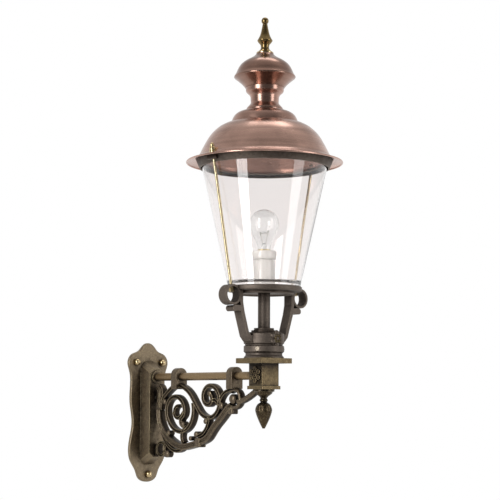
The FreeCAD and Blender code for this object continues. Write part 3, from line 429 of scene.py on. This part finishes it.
class WALL_LIGHT_OT_stage(WallLightOperator):
    """Set up the room, the floor, the lamps and the camera."""

    bl_idname = "wall_light.stage"
    bl_label = "Stage"

    def execute(self, context):
        stage = context.scene.wall_light_stage
        context.scene.view_settings.view_transform = "Standard"
        make_room(context.scene, stage)
        make_floor()
        make_lamps(stage)
        make_camera(context.scene, stage)
        return {"FINISHED"}


# Modelling, in millimetres until a piece is finished


ON_AXIS = Matrix.Translation(AXIS / MM)
# Places and sizes that pieces share with the frame, in millimetres
PLATE_FACE = 7
PLATE_STUDS = (-35, 33), (35, 33), (0, -214)
ARM_ROOT = 36
SADDLE_FOOT = -27
BLOCK_SIDE = 22
COLLAR_FACE = 41.9
BRIM_EDGE = Vector((162, 435))
ROD_FOOT, ROD_RUN = Vector((0, 86, 166)), Vector((0, 52.5, 281))
GLASS_FOOT, GLASS_TOP = (73.5, 178.5), (130, 430)


def smooth_line(points, steps=6):
    """A smooth line through points, as a chain of Bezier spans."""
    knots = [Vector(point) for point in points]
    ends = knots[:1] + knots + knots[-1:]
    line = knots[:1]
    for before, here, there, after in zip(ends, ends[1:], ends[2:], ends[3:]):
        out_of, into = here + (there - before) / 6, there - (after - here) / 6
        line += interpolate_bezier(here, out_of, into, there, steps + 1)[1:]
    return line


def turned(bm, outline, place=ON_AXIS, steps=96, closed=False):
    """Spins an outline of (radius, height) points round the third axis of a place."""
    verts = [bm.verts.new(place @ Vector((radius, 0, height))) for radius, height in outline]
    following = verts[1:] + verts[:1] if closed else verts[1:]
    edges = [bm.edges.new(pair) for pair in zip(verts, following)]
    bmesh.ops.spin(bm, geom=verts + edges, cent=place.translation, axis=place.col[2].xyz,
                   angle=math.tau, steps=steps, use_merge=True)


def facing(way, x, y, z):
    """A place whose third axis points along a way."""
    return Matrix.Translation((x, y, z)) @ Vector(way).to_track_quat("Z", "Y").to_matrix().to_4x4()


def rounded_box(bm, low, high, edge):
    """A block between two corners, with its edges rounded."""
    low, high = Vector(low), Vector(high)
    size = Matrix.Diagonal((*(high - low), 1))
    made = bmesh.ops.create_cube(bm, size=1, matrix=Matrix.Translation((low + high) / 2) @ size)
    edges = {e for v in made["verts"] for e in v.link_edges}
    bmesh.ops.bevel(bm, geom=list(edges), offset=edge, segments=3, profile=0.5, affect="EDGES",
                    material=-1)


def finished(bm, name, body, material_name, node=None, sharp=35):
    """Turns a shape in millimetres into a piece that rides on a body."""
    bmesh.ops.remove_doubles(bm, verts=bm.verts, dist=0.005)
    bmesh.ops.recalc_face_normals(bm, faces=bm.faces)
    bmesh.ops.scale(bm, vec=(MM, MM, MM), verts=bm.verts)
    mesh = bpy.data.meshes.new(name)
    bm.to_mesh(mesh)
    bm.free()
    mesh.shade_smooth()
    mesh.set_sharp_from_angle(angle=math.radians(sharp))
    mesh.materials.append(finish(material_name))
    piece = bpy.data.objects.new(name, mesh)
    bpy.context.scene.collection.objects.link(piece)
    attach(piece, body)
    if node:
        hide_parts(node)
    return piece


# Scroll bracket


def bead_section(width, half):
    """The section of a scroll: on each face two beads with a groove between them."""
    face = [(0.5, 2.4), (0.46, 1.0), (0.4, 0.25), (0.33, 0.0), (0.26, 0.3), (0.19, 1.4), (0.12, 3.0),
            (0.0, 3.6)]
    near = [(width * across, drop - half) for across, drop in face]
    near += [(-across, depth) for across, depth in reversed(near[:-1])]
    return near + [(across, -depth) for across, depth in reversed(near)]


def round_section(width, half):
    """The section of a plain rod, rounded on both faces."""
    turns = [math.tau * step / 20 for step in range(20)]
    return [(width / 2 * math.cos(turn), -half * math.sin(turn)) for turn in turns]


def sweep(bm, points, heading, width, half, section=bead_section):
    """Draws a section along arcs that run on from each other through points of the mirror plane."""
    here = Vector(points[0])
    turn = math.radians(heading)
    side = Vector((-math.sin(turn), math.cos(turn)))
    verts = [bm.verts.new((here.x + side.x * across, depth, here.y + side.y * across))
             for across, depth in section(width, half)]
    edges = [bm.edges.new(pair) for pair in zip(verts, verts[1:] + verts[:1])]
    bmesh.ops.contextual_create(bm, geom=edges)
    last = verts + edges
    for point in points[1:]:
        there = Vector(point)
        chord = there - here
        bend = math.remainder(2 * (math.atan2(chord.y, chord.x) - turn), math.tau)
        radius = chord.length / 2 / math.sin(bend / 2)
        centre = (here.x - math.sin(turn) * radius, 0, here.y + math.cos(turn) * radius)
        steps = max(4, round(abs(bend) / math.radians(7)))
        spun = bmesh.ops.spin(bm, geom=last, cent=centre, axis=(0, -1, 0), angle=bend, steps=steps)
        last = spun["geom_last"]
        here, turn = there, turn + bend
    bmesh.ops.contextual_create(bm, geom=[part for part in last if isinstance(part, bmesh.types.BMEdge)])


def bead_ring(bm, x, z, radius, width, half):
    outline = [(radius + across, depth) for across, depth in bead_section(width, half)]
    turned(bm, outline, facing((0, 1, 0), x, 0, z), steps=48, closed=True)


def boss(bm, x, z, radius, half):
    """A round boss with a domed face on both sides of the bracket."""
    face = smooth_line([(0, half + radius * 0.3), (radius * 0.6, half + radius * 0.18),
                        (radius, half - radius * 0.2)], 5)
    outline = face + [Vector((r, -h)) for r, h in reversed(face)]
    turned(bm, outline, facing((0, 1, 0), x, 0, z), steps=32)


def leaf(bm, middle, size, tilt):
    """A rounded lobe of the casting, as long, thick and high as its half sizes say."""
    place = Matrix.Translation((middle[0], 0, middle[1])) @ Matrix.Rotation(math.radians(-tilt), 4, "Y")
    shape = Matrix.Diagonal((*size, 1)) @ Matrix.Rotation(math.pi / 2, 4, "X")
    bmesh.ops.create_uvsphere(bm, u_segments=32, v_segments=16, radius=1, matrix=place @ shape)


def saddle(bm, x, run, half, top, foot):
    """A block with a round top that the arm passes through."""
    middle = top - half
    start = bm.verts.new((x, -half, middle))
    low = bm.verts.new((x, -half, foot))
    edge = bm.edges.new((low, start))
    arc = bmesh.ops.spin(bm, geom=[start], cent=(x, 0, middle), axis=(-1, 0, 0), angle=math.pi, steps=20)
    end = [v for v in arc["geom_last"] if isinstance(v, bmesh.types.BMVert)][0]
    far = bm.verts.new((x, half, foot))
    edges = [edge, bm.edges.new((end, far)), bm.edges.new((far, low))]
    rim = set(edges)
    walk = start
    while walk is not end:
        step = [e for e in walk.link_edges if e not in rim][0]
        rim.add(step)
        walk = step.other_vert(walk)
    face = bmesh.ops.contextual_create(bm, geom=list(rim))["faces"]
    made = bmesh.ops.extrude_face_region(bm, geom=face)["geom"]
    moved = [v for v in made if isinstance(v, bmesh.types.BMVert)]
    bmesh.ops.translate(bm, vec=(run, 0, 0), verts=moved)
    ring = {e for v in moved for e in v.link_edges} | rim
    sharp = [e for e in ring if e.is_valid and len(e.link_faces) == 2 and e.calc_face_angle(0) > 0.6]
    bmesh.ops.bevel(bm, geom=sharp, offset=1.4, segments=3, profile=0.5, affect="EDGES", material=-1)


def about(x, z, offsets):
    """Points given by their offsets from a centre."""
    return [(x + dx, z + dz) for dx, dz in offsets]


class WALL_LIGHT_OT_scroll_bracket(WallLightOperator):
    """Model the cast scroll bracket with its beaded bands, rings, bosses and saddles."""

    bl_idname = "wall_light.scroll_bracket"
    bl_label = "Scroll bracket"

    def execute(self, context):
        own = context.scene.wall_light_scroll
        half, band, bow = own.thick / 2 / MM, own.band / MM, own.bow / MM
        twig = band - 1
        bm = bmesh.new()
        front, ring, eye = (231, -48), (309, -47), (64, -157)
        long_s = about(*front, [(-2, 12), (5, 2), (-6, -12), (-24, 5), (2, 28), (30, 2), (-3, -39),
                                (-38, -24)])
        long_s += [(172, -47), (134, -21), (97, -25), (70, -45), (59, -72)]
        volute = [(172, -56), (169, -94), (126, -118), (82, -78), (119, -44), (143, -68), (135, -88),
                  (134, -103)]
        belly = [(55, -72), (60, -104), (90, -135), (127, -149.5), (147, -150), (178, -144), (212, -134),
                 (229, -122), (257, -95), (283, -72), (300, -62)]
        bands = [
            (long_s, -30, band, half),
            (volute, -72, band, half - 0.3),
            (belly, -101, bow, half + 1.5),
            ([(140, -76), (126, -88), (108, -77), (122, -63)], -125, twig - 1, half - 0.6),
            ([(150, -108), (136, -121), (141, -142)], 200, twig, half - 0.8),
            ([(58, -98), (71, -132), (102, -157), (135, -155)], -82, twig, half - 0.6),
            ([(54, -66), (64, -40), (54, -19)], 60, twig, half - 0.4),
            ([(50, -60), (55, -42), (47, -24)], 70, twig - 1, half - 0.2),
            ([(234, -53), (246, -50), (256, -61)], 40, twig, half - 0.9),
            ([(304, -27), (284, -32), (261, -56)], 190, twig, half - 0.5),
            ([(226, -86), (221, -104), (190, -126)], -95, twig, half - 0.8),
        ]
        for points, heading, width, depth in bands:
            sweep(bm, points, heading, width, depth)
        sweep(bm, [(320, -53), (346, -46), (376, -30)], 6, bow - 1, half + 1, round_section)
        round_ring = about(*ring, [(-12, 14), (14, 12), (12, -14), (-7, -17)])
        sweep(bm, round_ring, 40, band, half + 1, round_section)
        bead_ring(bm, *eye, 14.3, 5.4, half)
        bosses = [(138, -103, 7), (229, -36, 6), (304, -48, 10.5), (74, -54, 6), (89, -122, 6),
                  (166, -132, 5), (185, -123, 6.5), (216, -95, 5.5), (268, -62, 7), (84, -167, 8)]
        for x, z, radius in bosses:
            boss(bm, x, z, radius, half)
        for x in (107, 293):
            saddle(bm, x, run=19, half=15.5, top=19, foot=SADDLE_FOOT)
        leaf(bm, (50, -42), (14, half - 2, 24), 0)
        leaf(bm, (43, -160), (9, half - 2, 15), 0)
        leaf(bm, (74, -167), (13, half - 1, 8), -10)
        rounded_box(bm, (184, -half - 2, -150), (200, half + 2, -130), 2.5)
        rounded_box(bm, (290, -half - 1, -79), (306, half + 1, -64), 2.5)
        finished(bm, "beaded_scroll_bracket", "bracket", "scroll_bronze", "scroll_bracket")
        return {"FINISHED"}


# Drop finial


class WALL_LIGHT_OT_drop_finial(WallLightOperator):
    """Turn the drop finial and press the lobes into its acorn."""

    bl_idname = "wall_light.drop_finial"
    bl_label = "Drop finial"

    def execute(self, context):
        own = context.scene.wall_light_scroll
        neck = [(0, -28), (22, -28), (22, -32), (18, -34), (17, -37), (9.5, -42), (6.5, -46), (8.8, -50),
                (6.5, -54)]
        acorn = [(6.5, -54), (13.4, -59), (17.4, -69), (14.9, -80), (9.6, -93), (2.5, -107)]
        bm = bmesh.new()
        turned(bm, neck + smooth_line(acorn, 8) + [(0, -107)], steps=128)
        for vert in bm.verts:
            out = vert.co.xy - ON_AXIS.translation.xy
            depth = min(1, max(0, (-56 - vert.co.z) / 8)) * min(1, max(0, (vert.co.z + 106) / 12))
            groove = (1 - abs(math.sin(own.lobes / 2 * math.atan2(out.y, out.x)))) ** 1.6
            vert.co.xy -= out * (0.09 * depth * groove)
        finished(bm, "lobed_drop_finial", "bracket", "acorn_bronze", "drop_finial", sharp=50)
        return {"FINISHED"}


# Rosettes


class WALL_LIGHT_OT_rosettes(WallLightOperator):
    """Model the rosettes on the junction block's sides and on the lantern's collar."""

    bl_idname = "wall_light.rosettes"
    bl_label = "Rosettes"

    def execute(self, context):
        centre = ON_AXIS.translation
        bm = bmesh.new()
        for side in (-1, 1):
            rosette(bm, (0, side, 0), centre + Vector((0, side * BLOCK_SIDE, 1.75)))
        finished(bm, "block_rosettes", "bracket", "block_bronze", sharp=60)
        # dark panels behind the block's rosettes: patina and painted shade under the top plate
        bm = bmesh.new()
        for side in (-1, 1):
            near, far = sorted((side * (BLOCK_SIDE - 1), side * (BLOCK_SIDE + 0.4)))
            rounded_box(bm, centre + Vector((-18.6, near, -18)), centre + Vector((18.6, far, 21.5)), 0.4)
        finished(bm, "shaded_rosette_fields", "bracket", "acorn_bronze")
        bm = bmesh.new()
        rosette(bm, (1, 0, 0), centre + Vector((40.6, 0, 74)), 0.62)
        finished(bm, "collar_rosette", "lantern", "block_bronze", sharp=60)
        return {"FINISHED"}


def rosette(bm, way, middle, size=1.0):
    """A dished bud in a ring of six dished petals."""
    dish = smooth_line([(0, 1.2), (2.0, 1.5), (3.3, 2.6), (4.2, 3.3), (5.0, 3.0), (5.5, 2.0), (5.6, -3)], 4)
    dish = [point * size for point in dish]
    for step in range(6):
        petal = Matrix.Rotation(math.tau * step / 6, 3, way) @ Vector((0, 0, 11.8 * size))
        turned(bm, dish, facing(way, *(middle + petal)), steps=32)
    turned(bm, dish, facing(way, *middle), steps=32)


# Set screws


class WALL_LIGHT_OT_set_screws(WallLightOperator):
    """Model the socket screws that hold the collar on its spigot."""

    bl_idname = "wall_light.set_screws"
    bl_label = "Set screws"

    def execute(self, context):
        low, high = (Vector(corner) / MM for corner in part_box("set_screws"))
        height = (low.z + high.z) / 2
        bm = bmesh.new()
        for degrees in (-60, 60, 180):
            way = Vector((math.cos(math.radians(degrees)), math.sin(math.radians(degrees)), 0))
            face = facing(way, *(ON_AXIS.translation + way * COLLAR_FACE + Vector((0, 0, height))))
            turned(bm, [(4.4, -9), (4.4, -1.2), (0, -1.2)], face, steps=32)
            turned(bm, [(5.0, -1.2), (4.6, 0), (2.6, 0), (2.4, -2.2), (0, -2.2)], face, steps=4)
        finished(bm, "socket_set_screws", "lantern", "screw_steel", "set_screws", sharp=30)
        return {"FINISHED"}


# Copper roof and its ring


class WALL_LIGHT_OT_roof_dome(WallLightOperator):
    """Spin the dome with its flat brim and rolled edge, its lining and the ring that holds the glass."""

    bl_idname = "wall_light.roof_dome"
    bl_label = "Roof dome"

    def execute(self, context):
        own = context.scene.wall_light_roof
        wall, wire = own.wall / MM, own.wire / MM
        tip = BRIM_EDGE + Vector((-wire, wire))
        brim = smooth_line([tip + Vector((0, wire)), (155, 440.2), (148, 442.2), (141.5, 444.6),
                            (137.6, 447.4), (135, 451.4)])
        crown = smooth_line([(135, 451.4), (132.2, 457), (128.3, 465), (123.3, 474.4), (116.6, 486.2),
                             (108.6, 496.8), (97, 507.6), (85.5, 514.5), (76, 518.2)])
        outer = brim + crown[1:] + [Vector((72, 519)), Vector((60, 519))]
        inner = [Vector((60, 519 - wall))]
        inner += [point + Vector((-0.8, -1.0)) * wall for point in reversed(crown[1:])]
        inner += [point + Vector((-0.3, -1.1)) * wall for point in reversed(brim)]
        bm = bmesh.new()
        turned(bm, outer + inner, steps=160, closed=True)
        turned(bm, circle(tip, wire), steps=160, closed=True)
        finished(bm, "spun_roof_dome", "lantern", "dome_copper", "roof_dome", sharp=28)
        bm = bmesh.new()
        bead = smooth_line([(29, 547), (36.4, 547.4), (37, 550), (35.6, 553.4), (32, 556), (29, 557)], 4)
        turned(bm, bead)
        finished(bm, "neck_bead", "lantern", "neck_copper")
        bm = bmesh.new()
        # painted shade: the lining inside the dome carries the darkened copper
        lining = smooth_line([(136.4, 435.2), (135.4, 443), (132.4, 450), (129, 457), (119.5, 475),
                              (112.5, 487), (104.5, 497), (93, 507), (81, 513), (70, 515.4), (56, 516)], 4)
        lining += [point - Vector((0.8, 0)) for point in reversed(lining)]
        turned(bm, lining, steps=128, closed=True)
        finished(bm, "roof_lining", "lantern", "inner_copper")
        bm = bmesh.new()
        ledge = [(135.3, 434.5), (124, 434.5), (124, 431.5), (134.1, 431.5)]
        turned(bm, [(131.5, 425), (134.5, 425), (141, 441.3), (138, 441.3)] + ledge, steps=128, closed=True)
        middle = ON_AXIS.translation.x
        for side in (-1, 1):
            near, far = sorted((side * 134, side * 143.4))
            rounded_box(bm, (middle - 14, near, 429), (middle + 14, far, 440.6), 1.2)
        finished(bm, "lugged_roof_ring", "lantern", "fork_bronze", "roof_ring")
        return {"FINISHED"}


def circle(centre, radius, steps=12):
    turns = [math.tau * step / steps for step in range(steps)]
    return [centre + radius * Vector((math.cos(turn), math.sin(turn))) for turn in turns]


# Rods and nuts


class WALL_LIGHT_OT_nuts(WallLightOperator):
    """Turn the tie rods, their washers and nuts, the plate's nuts and the ring at the arm's root."""

    bl_idname = "wall_light.nuts"
    bl_label = "Rods and nuts"

    def execute(self, context):
        acorn = [(0, 0)] + smooth_line([(6.6, 0), (7.3, 3), (7.3, 5), (6.3, 8.6), (3.6, 11.2), (0, 12)], 6)
        bm = bmesh.new()
        for y, z in PLATE_STUDS:
            turned(bm, acorn, facing((1, 0, 0), PLATE_FACE, y, z), steps=32)
        finished(bm, "acorn_plate_nuts", "bracket", "buffed_brass", "plate_nuts",
                 sharp=50)
        bm = bmesh.new()
        root = smooth_line([(9, 3.4), (11, 3.6), (12.8, 2.6), (13.2, 0)], 4)
        turned(bm, root, facing((1, 0, 0), ARM_ROOT, 0, 0), steps=64)
        finished(bm, "arm_root_ring", "bracket", "plate_bronze")
        rods = []
        for side in (Vector((1, -1, 1)), Vector((1, 1, 1))):
            rods.append((ON_AXIS.translation + ROD_FOOT * side, (ROD_RUN * side).normalized()))
        rod_end, brim_seat = 454, 447.6
        for (low, way), node in zip(rods, ("tie_rod_left", "tie_rod_right")):
            bm = bmesh.new()
            reach = (rod_end - low.z) / way.z
            turned(bm, [(0, 0), (3, 0), (3, reach), (0, reach)], facing(way, *low), steps=24)
            finished(bm, "brass_" + node, "lantern", "rod_brass", node)
        nut = [(0, 0), (6.2, 0), (6.5, 2), (6.5, 4.4), (5.4, 6.6)]
        nut += smooth_line([(4.4, 7), (4.6, 9), (4, 12), (2.4, 14.6), (0, 15.6)], 4)
        washer = [(0, -3.6), (7.6, -3.6), (7.6, -0.6), (7, 0), (0, 0)]
        for outline, name, node in ((nut, "acorn_roof_nuts", "roof_nuts"),
                                    (washer, "brim_washers", "rod_washers")):
            bm = bmesh.new()
            for low, way in rods:
                seat = low + way * ((brim_seat - low.z) / way.z)
                turned(bm, outline, facing(way, *seat), steps=32)
            finished(bm, name, "lantern", "buffed_brass", node, sharp=50)
        return {"FINISHED"}


# Tray


class WALL_LIGHT_OT_tray(WallLightOperator):
    """Turn the tray that carries the glass, dished below."""

    bl_idname = "wall_light.tray"
    bl_label = "Glass tray"

    def execute(self, context):
        below = [(12.5, 169), (40, 168.8), (55, 167.8), (58.6, 164.6), (60.2, 164.6), (62, 166.4),
                 (62, 170.5)]
        above = [(74.5, 170.5), (76.8, 171.6), (77.5, 173.5), (77.5, 179), (75.5, 181), (74.6, 181),
                 (74.2, 177), (68.5, 177), (68.5, 181), (12.5, 181)]
        bm = bmesh.new()
        turned(bm, below + above, steps=128, closed=True)
        finished(bm, "dished_glass_tray", "lantern", "fork_bronze", "glass_tray")
        return {"FINISHED"}


# Top finial


class WALL_LIGHT_OT_top_finial(WallLightOperator):
    """Turn the brass finial with its waist, its sharp belly and its ball."""

    bl_idname = "wall_light.top_finial"
    bl_label = "Top finial"

    def execute(self, context):
        foot = [(0, 672), (11.5, 672), (11.5, 674), (9.6, 675.5)]
        waist = smooth_line([(9.6, 675.5), (8.6, 680), (9.6, 685.5), (13.4, 690), (15.6, 693.2)])
        belly = smooth_line([(16, 694.6), (14.6, 697), (10.2, 706), (7.2, 718), (4.9, 730.5)])
        ball = [(7.6 * math.sin(turn), 736.4 - 7.6 * math.cos(turn))
                for turn in [math.radians(degrees) for degrees in range(40, 181, 10)]]
        bm = bmesh.new()
        turned(bm, foot + waist[1:] + belly + ball, steps=64)
        finished(bm, "turned_top_finial", "lantern", "aged_brass", "top_finial", sharp=40)
        return {"FINISHED"}


# Lampholder


class WALL_LIGHT_OT_lampholder(WallLightOperator):
    """Turn the porcelain lampholder and its shade ring, with the dark joint between them."""

    bl_idname = "wall_light.lampholder"
    bl_label = "Lampholder"

    def execute(self, context):
        base = [(12.9, 181), (22.5, 181), (22.5, 233.6), (21.8, 234.4), (20.4, 234.6), (20.4, 236),
                (12.9, 236)]
        ring = [(12.9, 236), (20.4, 236), (20.4, 236.6), (24.2, 236.8), (25, 237.8), (25, 252), (23.6, 254),
                (12.9, 254)]
        for outline, name, node in ((base, "porcelain_base", "lampholder_base"),
                                    (ring, "porcelain_ring", "lampholder_ring")):
            bm = bmesh.new()
            turned(bm, outline, steps=64, closed=True)
            finished(bm, name, "lantern", "white_porcelain", node, sharp=50)
        return {"FINISHED"}


# Glass


class WALL_LIGHT_OT_glass(WallLightOperator):
    """Blow the glass cone, with the thick ring at its foot."""

    bl_idname = "wall_light.glass"
    bl_label = "Glass cone"

    def execute(self, context):
        own = context.scene.wall_light_glass
        wall, rim = own.wall / MM, own.foot_ring / MM
        (foot, low), (top, high) = GLASS_FOOT, GLASS_TOP
        slope = (top - foot) / (high - low)
        lip = [(top - 0.2 * wall, high), (top - wall, high)]
        seat = low + 3
        ring_top = seat + rim
        inner = foot + slope * (ring_top + 2 - low) - wall
        # a loop just above the ring keeps the wall's shading straight
        straight = [(inner + slope * 3, ring_top + 5)]
        ring = smooth_line([(inner, ring_top + 2), (inner - 2.5, ring_top), (inner - 7, ring_top - 1.5),
                            (inner - 8, ring_top - 4), (inner - 8, seat + 0.5)])
        outline = [GLASS_FOOT, GLASS_TOP] + lip + straight + ring + [(foot - 4, seat), (foot - 4, low)]
        bm = bmesh.new()
        turned(bm, outline, steps=128, closed=True)
        cone = finished(bm, "clear_glass_cone", "lantern", "cone_glass", "glass_cone",
                        sharp=40)
        # light from the lamps passes clear glass
        cone.visible_shadow = False
        frame["nodes"]["bulb_glass"].visible_shadow = False
        return {"FINISHED"}


# Stage


def to_camera(stage):
    """The level way from the lantern to the camera."""
    return Vector((math.sin(stage.azimuth), -math.cos(stage.azimuth), 0))


def make_room(scene, stage):
    """A white backdrop behind the object, a pale ceiling, and a dim room on the camera's side."""
    scene.world = bpy.data.worlds.new("studio")
    scene.world.use_nodes = True
    tree = scene.world.node_tree
    tree.nodes.clear()
    way = add(tree, "ShaderNodeTexCoord").outputs["Generated"]
    away = -to_camera(stage)
    along = add(tree, "ShaderNodeVectorMath", {0: way, 1: away}, operation="DOT_PRODUCT").outputs["Value"]
    up = add(tree, "ShaderNodeSeparateXYZ", {0: way}).outputs["Z"]
    side = add(tree, "ShaderNodeMapRange", {"Value": along, "From Min": -0.5, "From Max": 0.15,
                                            "To Max": 0.4})
    above = add(tree, "ShaderNodeMapRange", {"Value": up, "From Min": 0.7, "From Max": 1.0, "To Max": 0.42})
    sides = add(tree, "ShaderNodeMath", {0: side, 1: stage.room}, operation="ADD")
    level = add(tree, "ShaderNodeMath", {0: sides, 1: above}, operation="ADD")
    behind = add(tree, "ShaderNodeMapRange", {"Value": along, "From Min": -0.1, "From Max": 0.6})
    low = add(tree, "ShaderNodeMapRange", {"Value": up, "From Min": 0.75, "From Max": 0.2})
    wall = add(tree, "ShaderNodeMath", {0: behind, 1: low}, operation="MULTIPLY")
    pale = add(tree, "ShaderNodeMath", {0: wall, 1: 0.8}, operation="MULTIPLY")
    rays = add(tree, "ShaderNodeLightPath").outputs
    mirrored = add(tree, "ShaderNodeMath", {0: rays["Is Glossy Ray"], 1: pale}, operation="MULTIPLY")
    direct = add(tree, "ShaderNodeMath", {0: rays["Is Camera Ray"], 1: rays["Is Transmission Ray"]},
                 operation="MAXIMUM")
    seen = add(tree, "ShaderNodeMath", {0: direct, 1: mirrored}, operation="MAXIMUM")
    lit = add(tree, "ShaderNodeBackground", {"Color": rgba(linear("#fbfaf8")), "Strength": level})
    white = add(tree, "ShaderNodeBackground", {"Color": (1, 1, 1, 1), "Strength": 1.0})
    both = add(tree, "ShaderNodeMixShader", {0: seen, 1: lit, 2: white})
    add(tree, "ShaderNodeOutputWorld", {"Surface": both})


def stage_plane(name, size, matrix):
    """A flat square that belongs to the stage and not to the part."""
    mesh = bpy.data.meshes.new(name)
    bm = bmesh.new()
    bmesh.ops.create_grid(bm, x_segments=1, y_segments=1, size=size / 2, matrix=matrix)
    bm.to_mesh(mesh)
    bm.free()
    piece = bpy.data.objects.new(name, mesh)
    bpy.context.scene.collection.objects.link(piece)
    return piece


def make_floor():
    """A pale matt floor below the object."""
    gap, width = 0.37, 1.8
    floor = stage_plane("floor", width, Matrix.Translation((AXIS.x, 0, CAD_BOX[0][2] - gap)))
    material, tree, shader, place = new_material("pale_floor")
    mottle = add(tree, "ShaderNodeTexNoise", {"Vector": place, "Scale": per_size(300), "Detail": 2})
    tint = add(tree, "ShaderNodeMix", {"Factor": mottle, "A": rgba(linear("#f4f3f1")),
                                       "B": rgba(linear("#efeeec"))}, data_type="RGBA")
    connect(tree, shader, {"Base Color": tint, "Roughness": 0.9})
    floor.data.materials.append(material)


def make_lamp(name, direction, distance, size, power, target):
    """A soft box that faces the lantern."""
    light = bpy.data.lights.new(name, "AREA")
    light.shape = "RECTANGLE"
    light.size = size[0]
    light.size_y = size[1]
    light.energy = power
    lamp = bpy.data.objects.new(name, light)
    lamp.location = target + direction.normalized() * distance
    lamp.rotation_euler = direction.to_track_quat("Z", "Y").to_euler()
    lamp.visible_camera = False
    bpy.context.scene.collection.objects.link(lamp)


def make_lamps(stage):
    """Two tall strip boxes either side of the camera and one box overhead."""
    middle = AXIS + Vector((0, 0, 0.3))
    front = to_camera(stage)
    right = Vector((-front.y, front.x, 0))

    def around(degrees, rise):
        turn = math.radians(degrees)
        return front * math.cos(turn) + right * math.sin(turn) + Vector((0, 0, rise))

    make_lamp("left_strip", around(-42, 0.1), 2.6, (0.95, 2.8), 55, middle)
    make_lamp("right_strip", around(66, 0.1), 2.6, (1.0, 2.8), 22, middle)
    make_lamp("top_box", around(160, 3.6), 2.0, (1.2, 0.6), 4.6, middle)


def make_camera(scene, stage):
    """The camera at the photograph's place, with its turn, pitch and roll."""
    data = bpy.data.cameras.new("camera")
    data.sensor_width = 36.0
    frame_px = 500
    data.lens = stage.focal_px * data.sensor_width / frame_px
    camera = bpy.data.objects.new("camera", data)
    camera.location = AXIS + to_camera(stage) * stage.distance + Vector((0, 0, stage.height))
    turn = Matrix.Rotation(stage.azimuth + stage.turn, 4, "Z")
    tilt = Matrix.Rotation(math.radians(90) + stage.pitch, 4, "X")
    lean = Matrix.Rotation(stage.roll, 4, "Z")
    camera.rotation_euler = (turn @ tilt @ lean).to_euler()
    scene.collection.objects.link(camera)
    scene.camera = camera


class WALL_LIGHT_PT_pieces(bpy.types.Panel):
    """Lists the pieces' operators."""

    bl_idname = "WALL_LIGHT_PT_pieces"
    bl_label = "Wall light"
    bl_space_type = "VIEW_3D"
    bl_region_type = "UI"
    bl_category = "Wall light"

    def draw(self, context):
        for operator in OPERATORS:
            self.layout.operator(operator.bl_idname)


OPERATORS = (
    WALL_LIGHT_OT_frame_metals,
    WALL_LIGHT_OT_scroll_bracket,
    WALL_LIGHT_OT_drop_finial,
    WALL_LIGHT_OT_rosettes,
    WALL_LIGHT_OT_set_screws,
    WALL_LIGHT_OT_roof_dome,
    WALL_LIGHT_OT_nuts,
    WALL_LIGHT_OT_tray,
    WALL_LIGHT_OT_top_finial,
    WALL_LIGHT_OT_lampholder,
    WALL_LIGHT_OT_glass,
    WALL_LIGHT_OT_stage,
)
GROUPS = {
    "wall_light_finishes": WallLightFinishes,
    "wall_light_scroll": WallLightScroll,
    "wall_light_roof": WallLightRoof,
    "wall_light_glass": WallLightGlass,
    "wall_light_stage": WallLightStage,
}
CLASSES = tuple(GROUPS.values()) + OPERATORS + (WALL_LIGHT_PT_pieces,)


def register():
    for cls in CLASSES:
        bpy.utils.register_class(cls)
    for name, group in GROUPS.items():
        setattr(bpy.types.Scene, name, PointerProperty(type=group))


def unregister():
    for name in GROUPS:
        delattr(bpy.types.Scene, name)
    for cls in reversed(CLASSES):
        bpy.utils.unregister_class(cls)


def main():
    register()
    for operator in OPERATORS:
        group, action = operator.bl_idname.split(".")
        getattr(getattr(bpy.ops, group), action)()


if __name__ == "__main__":
    main()
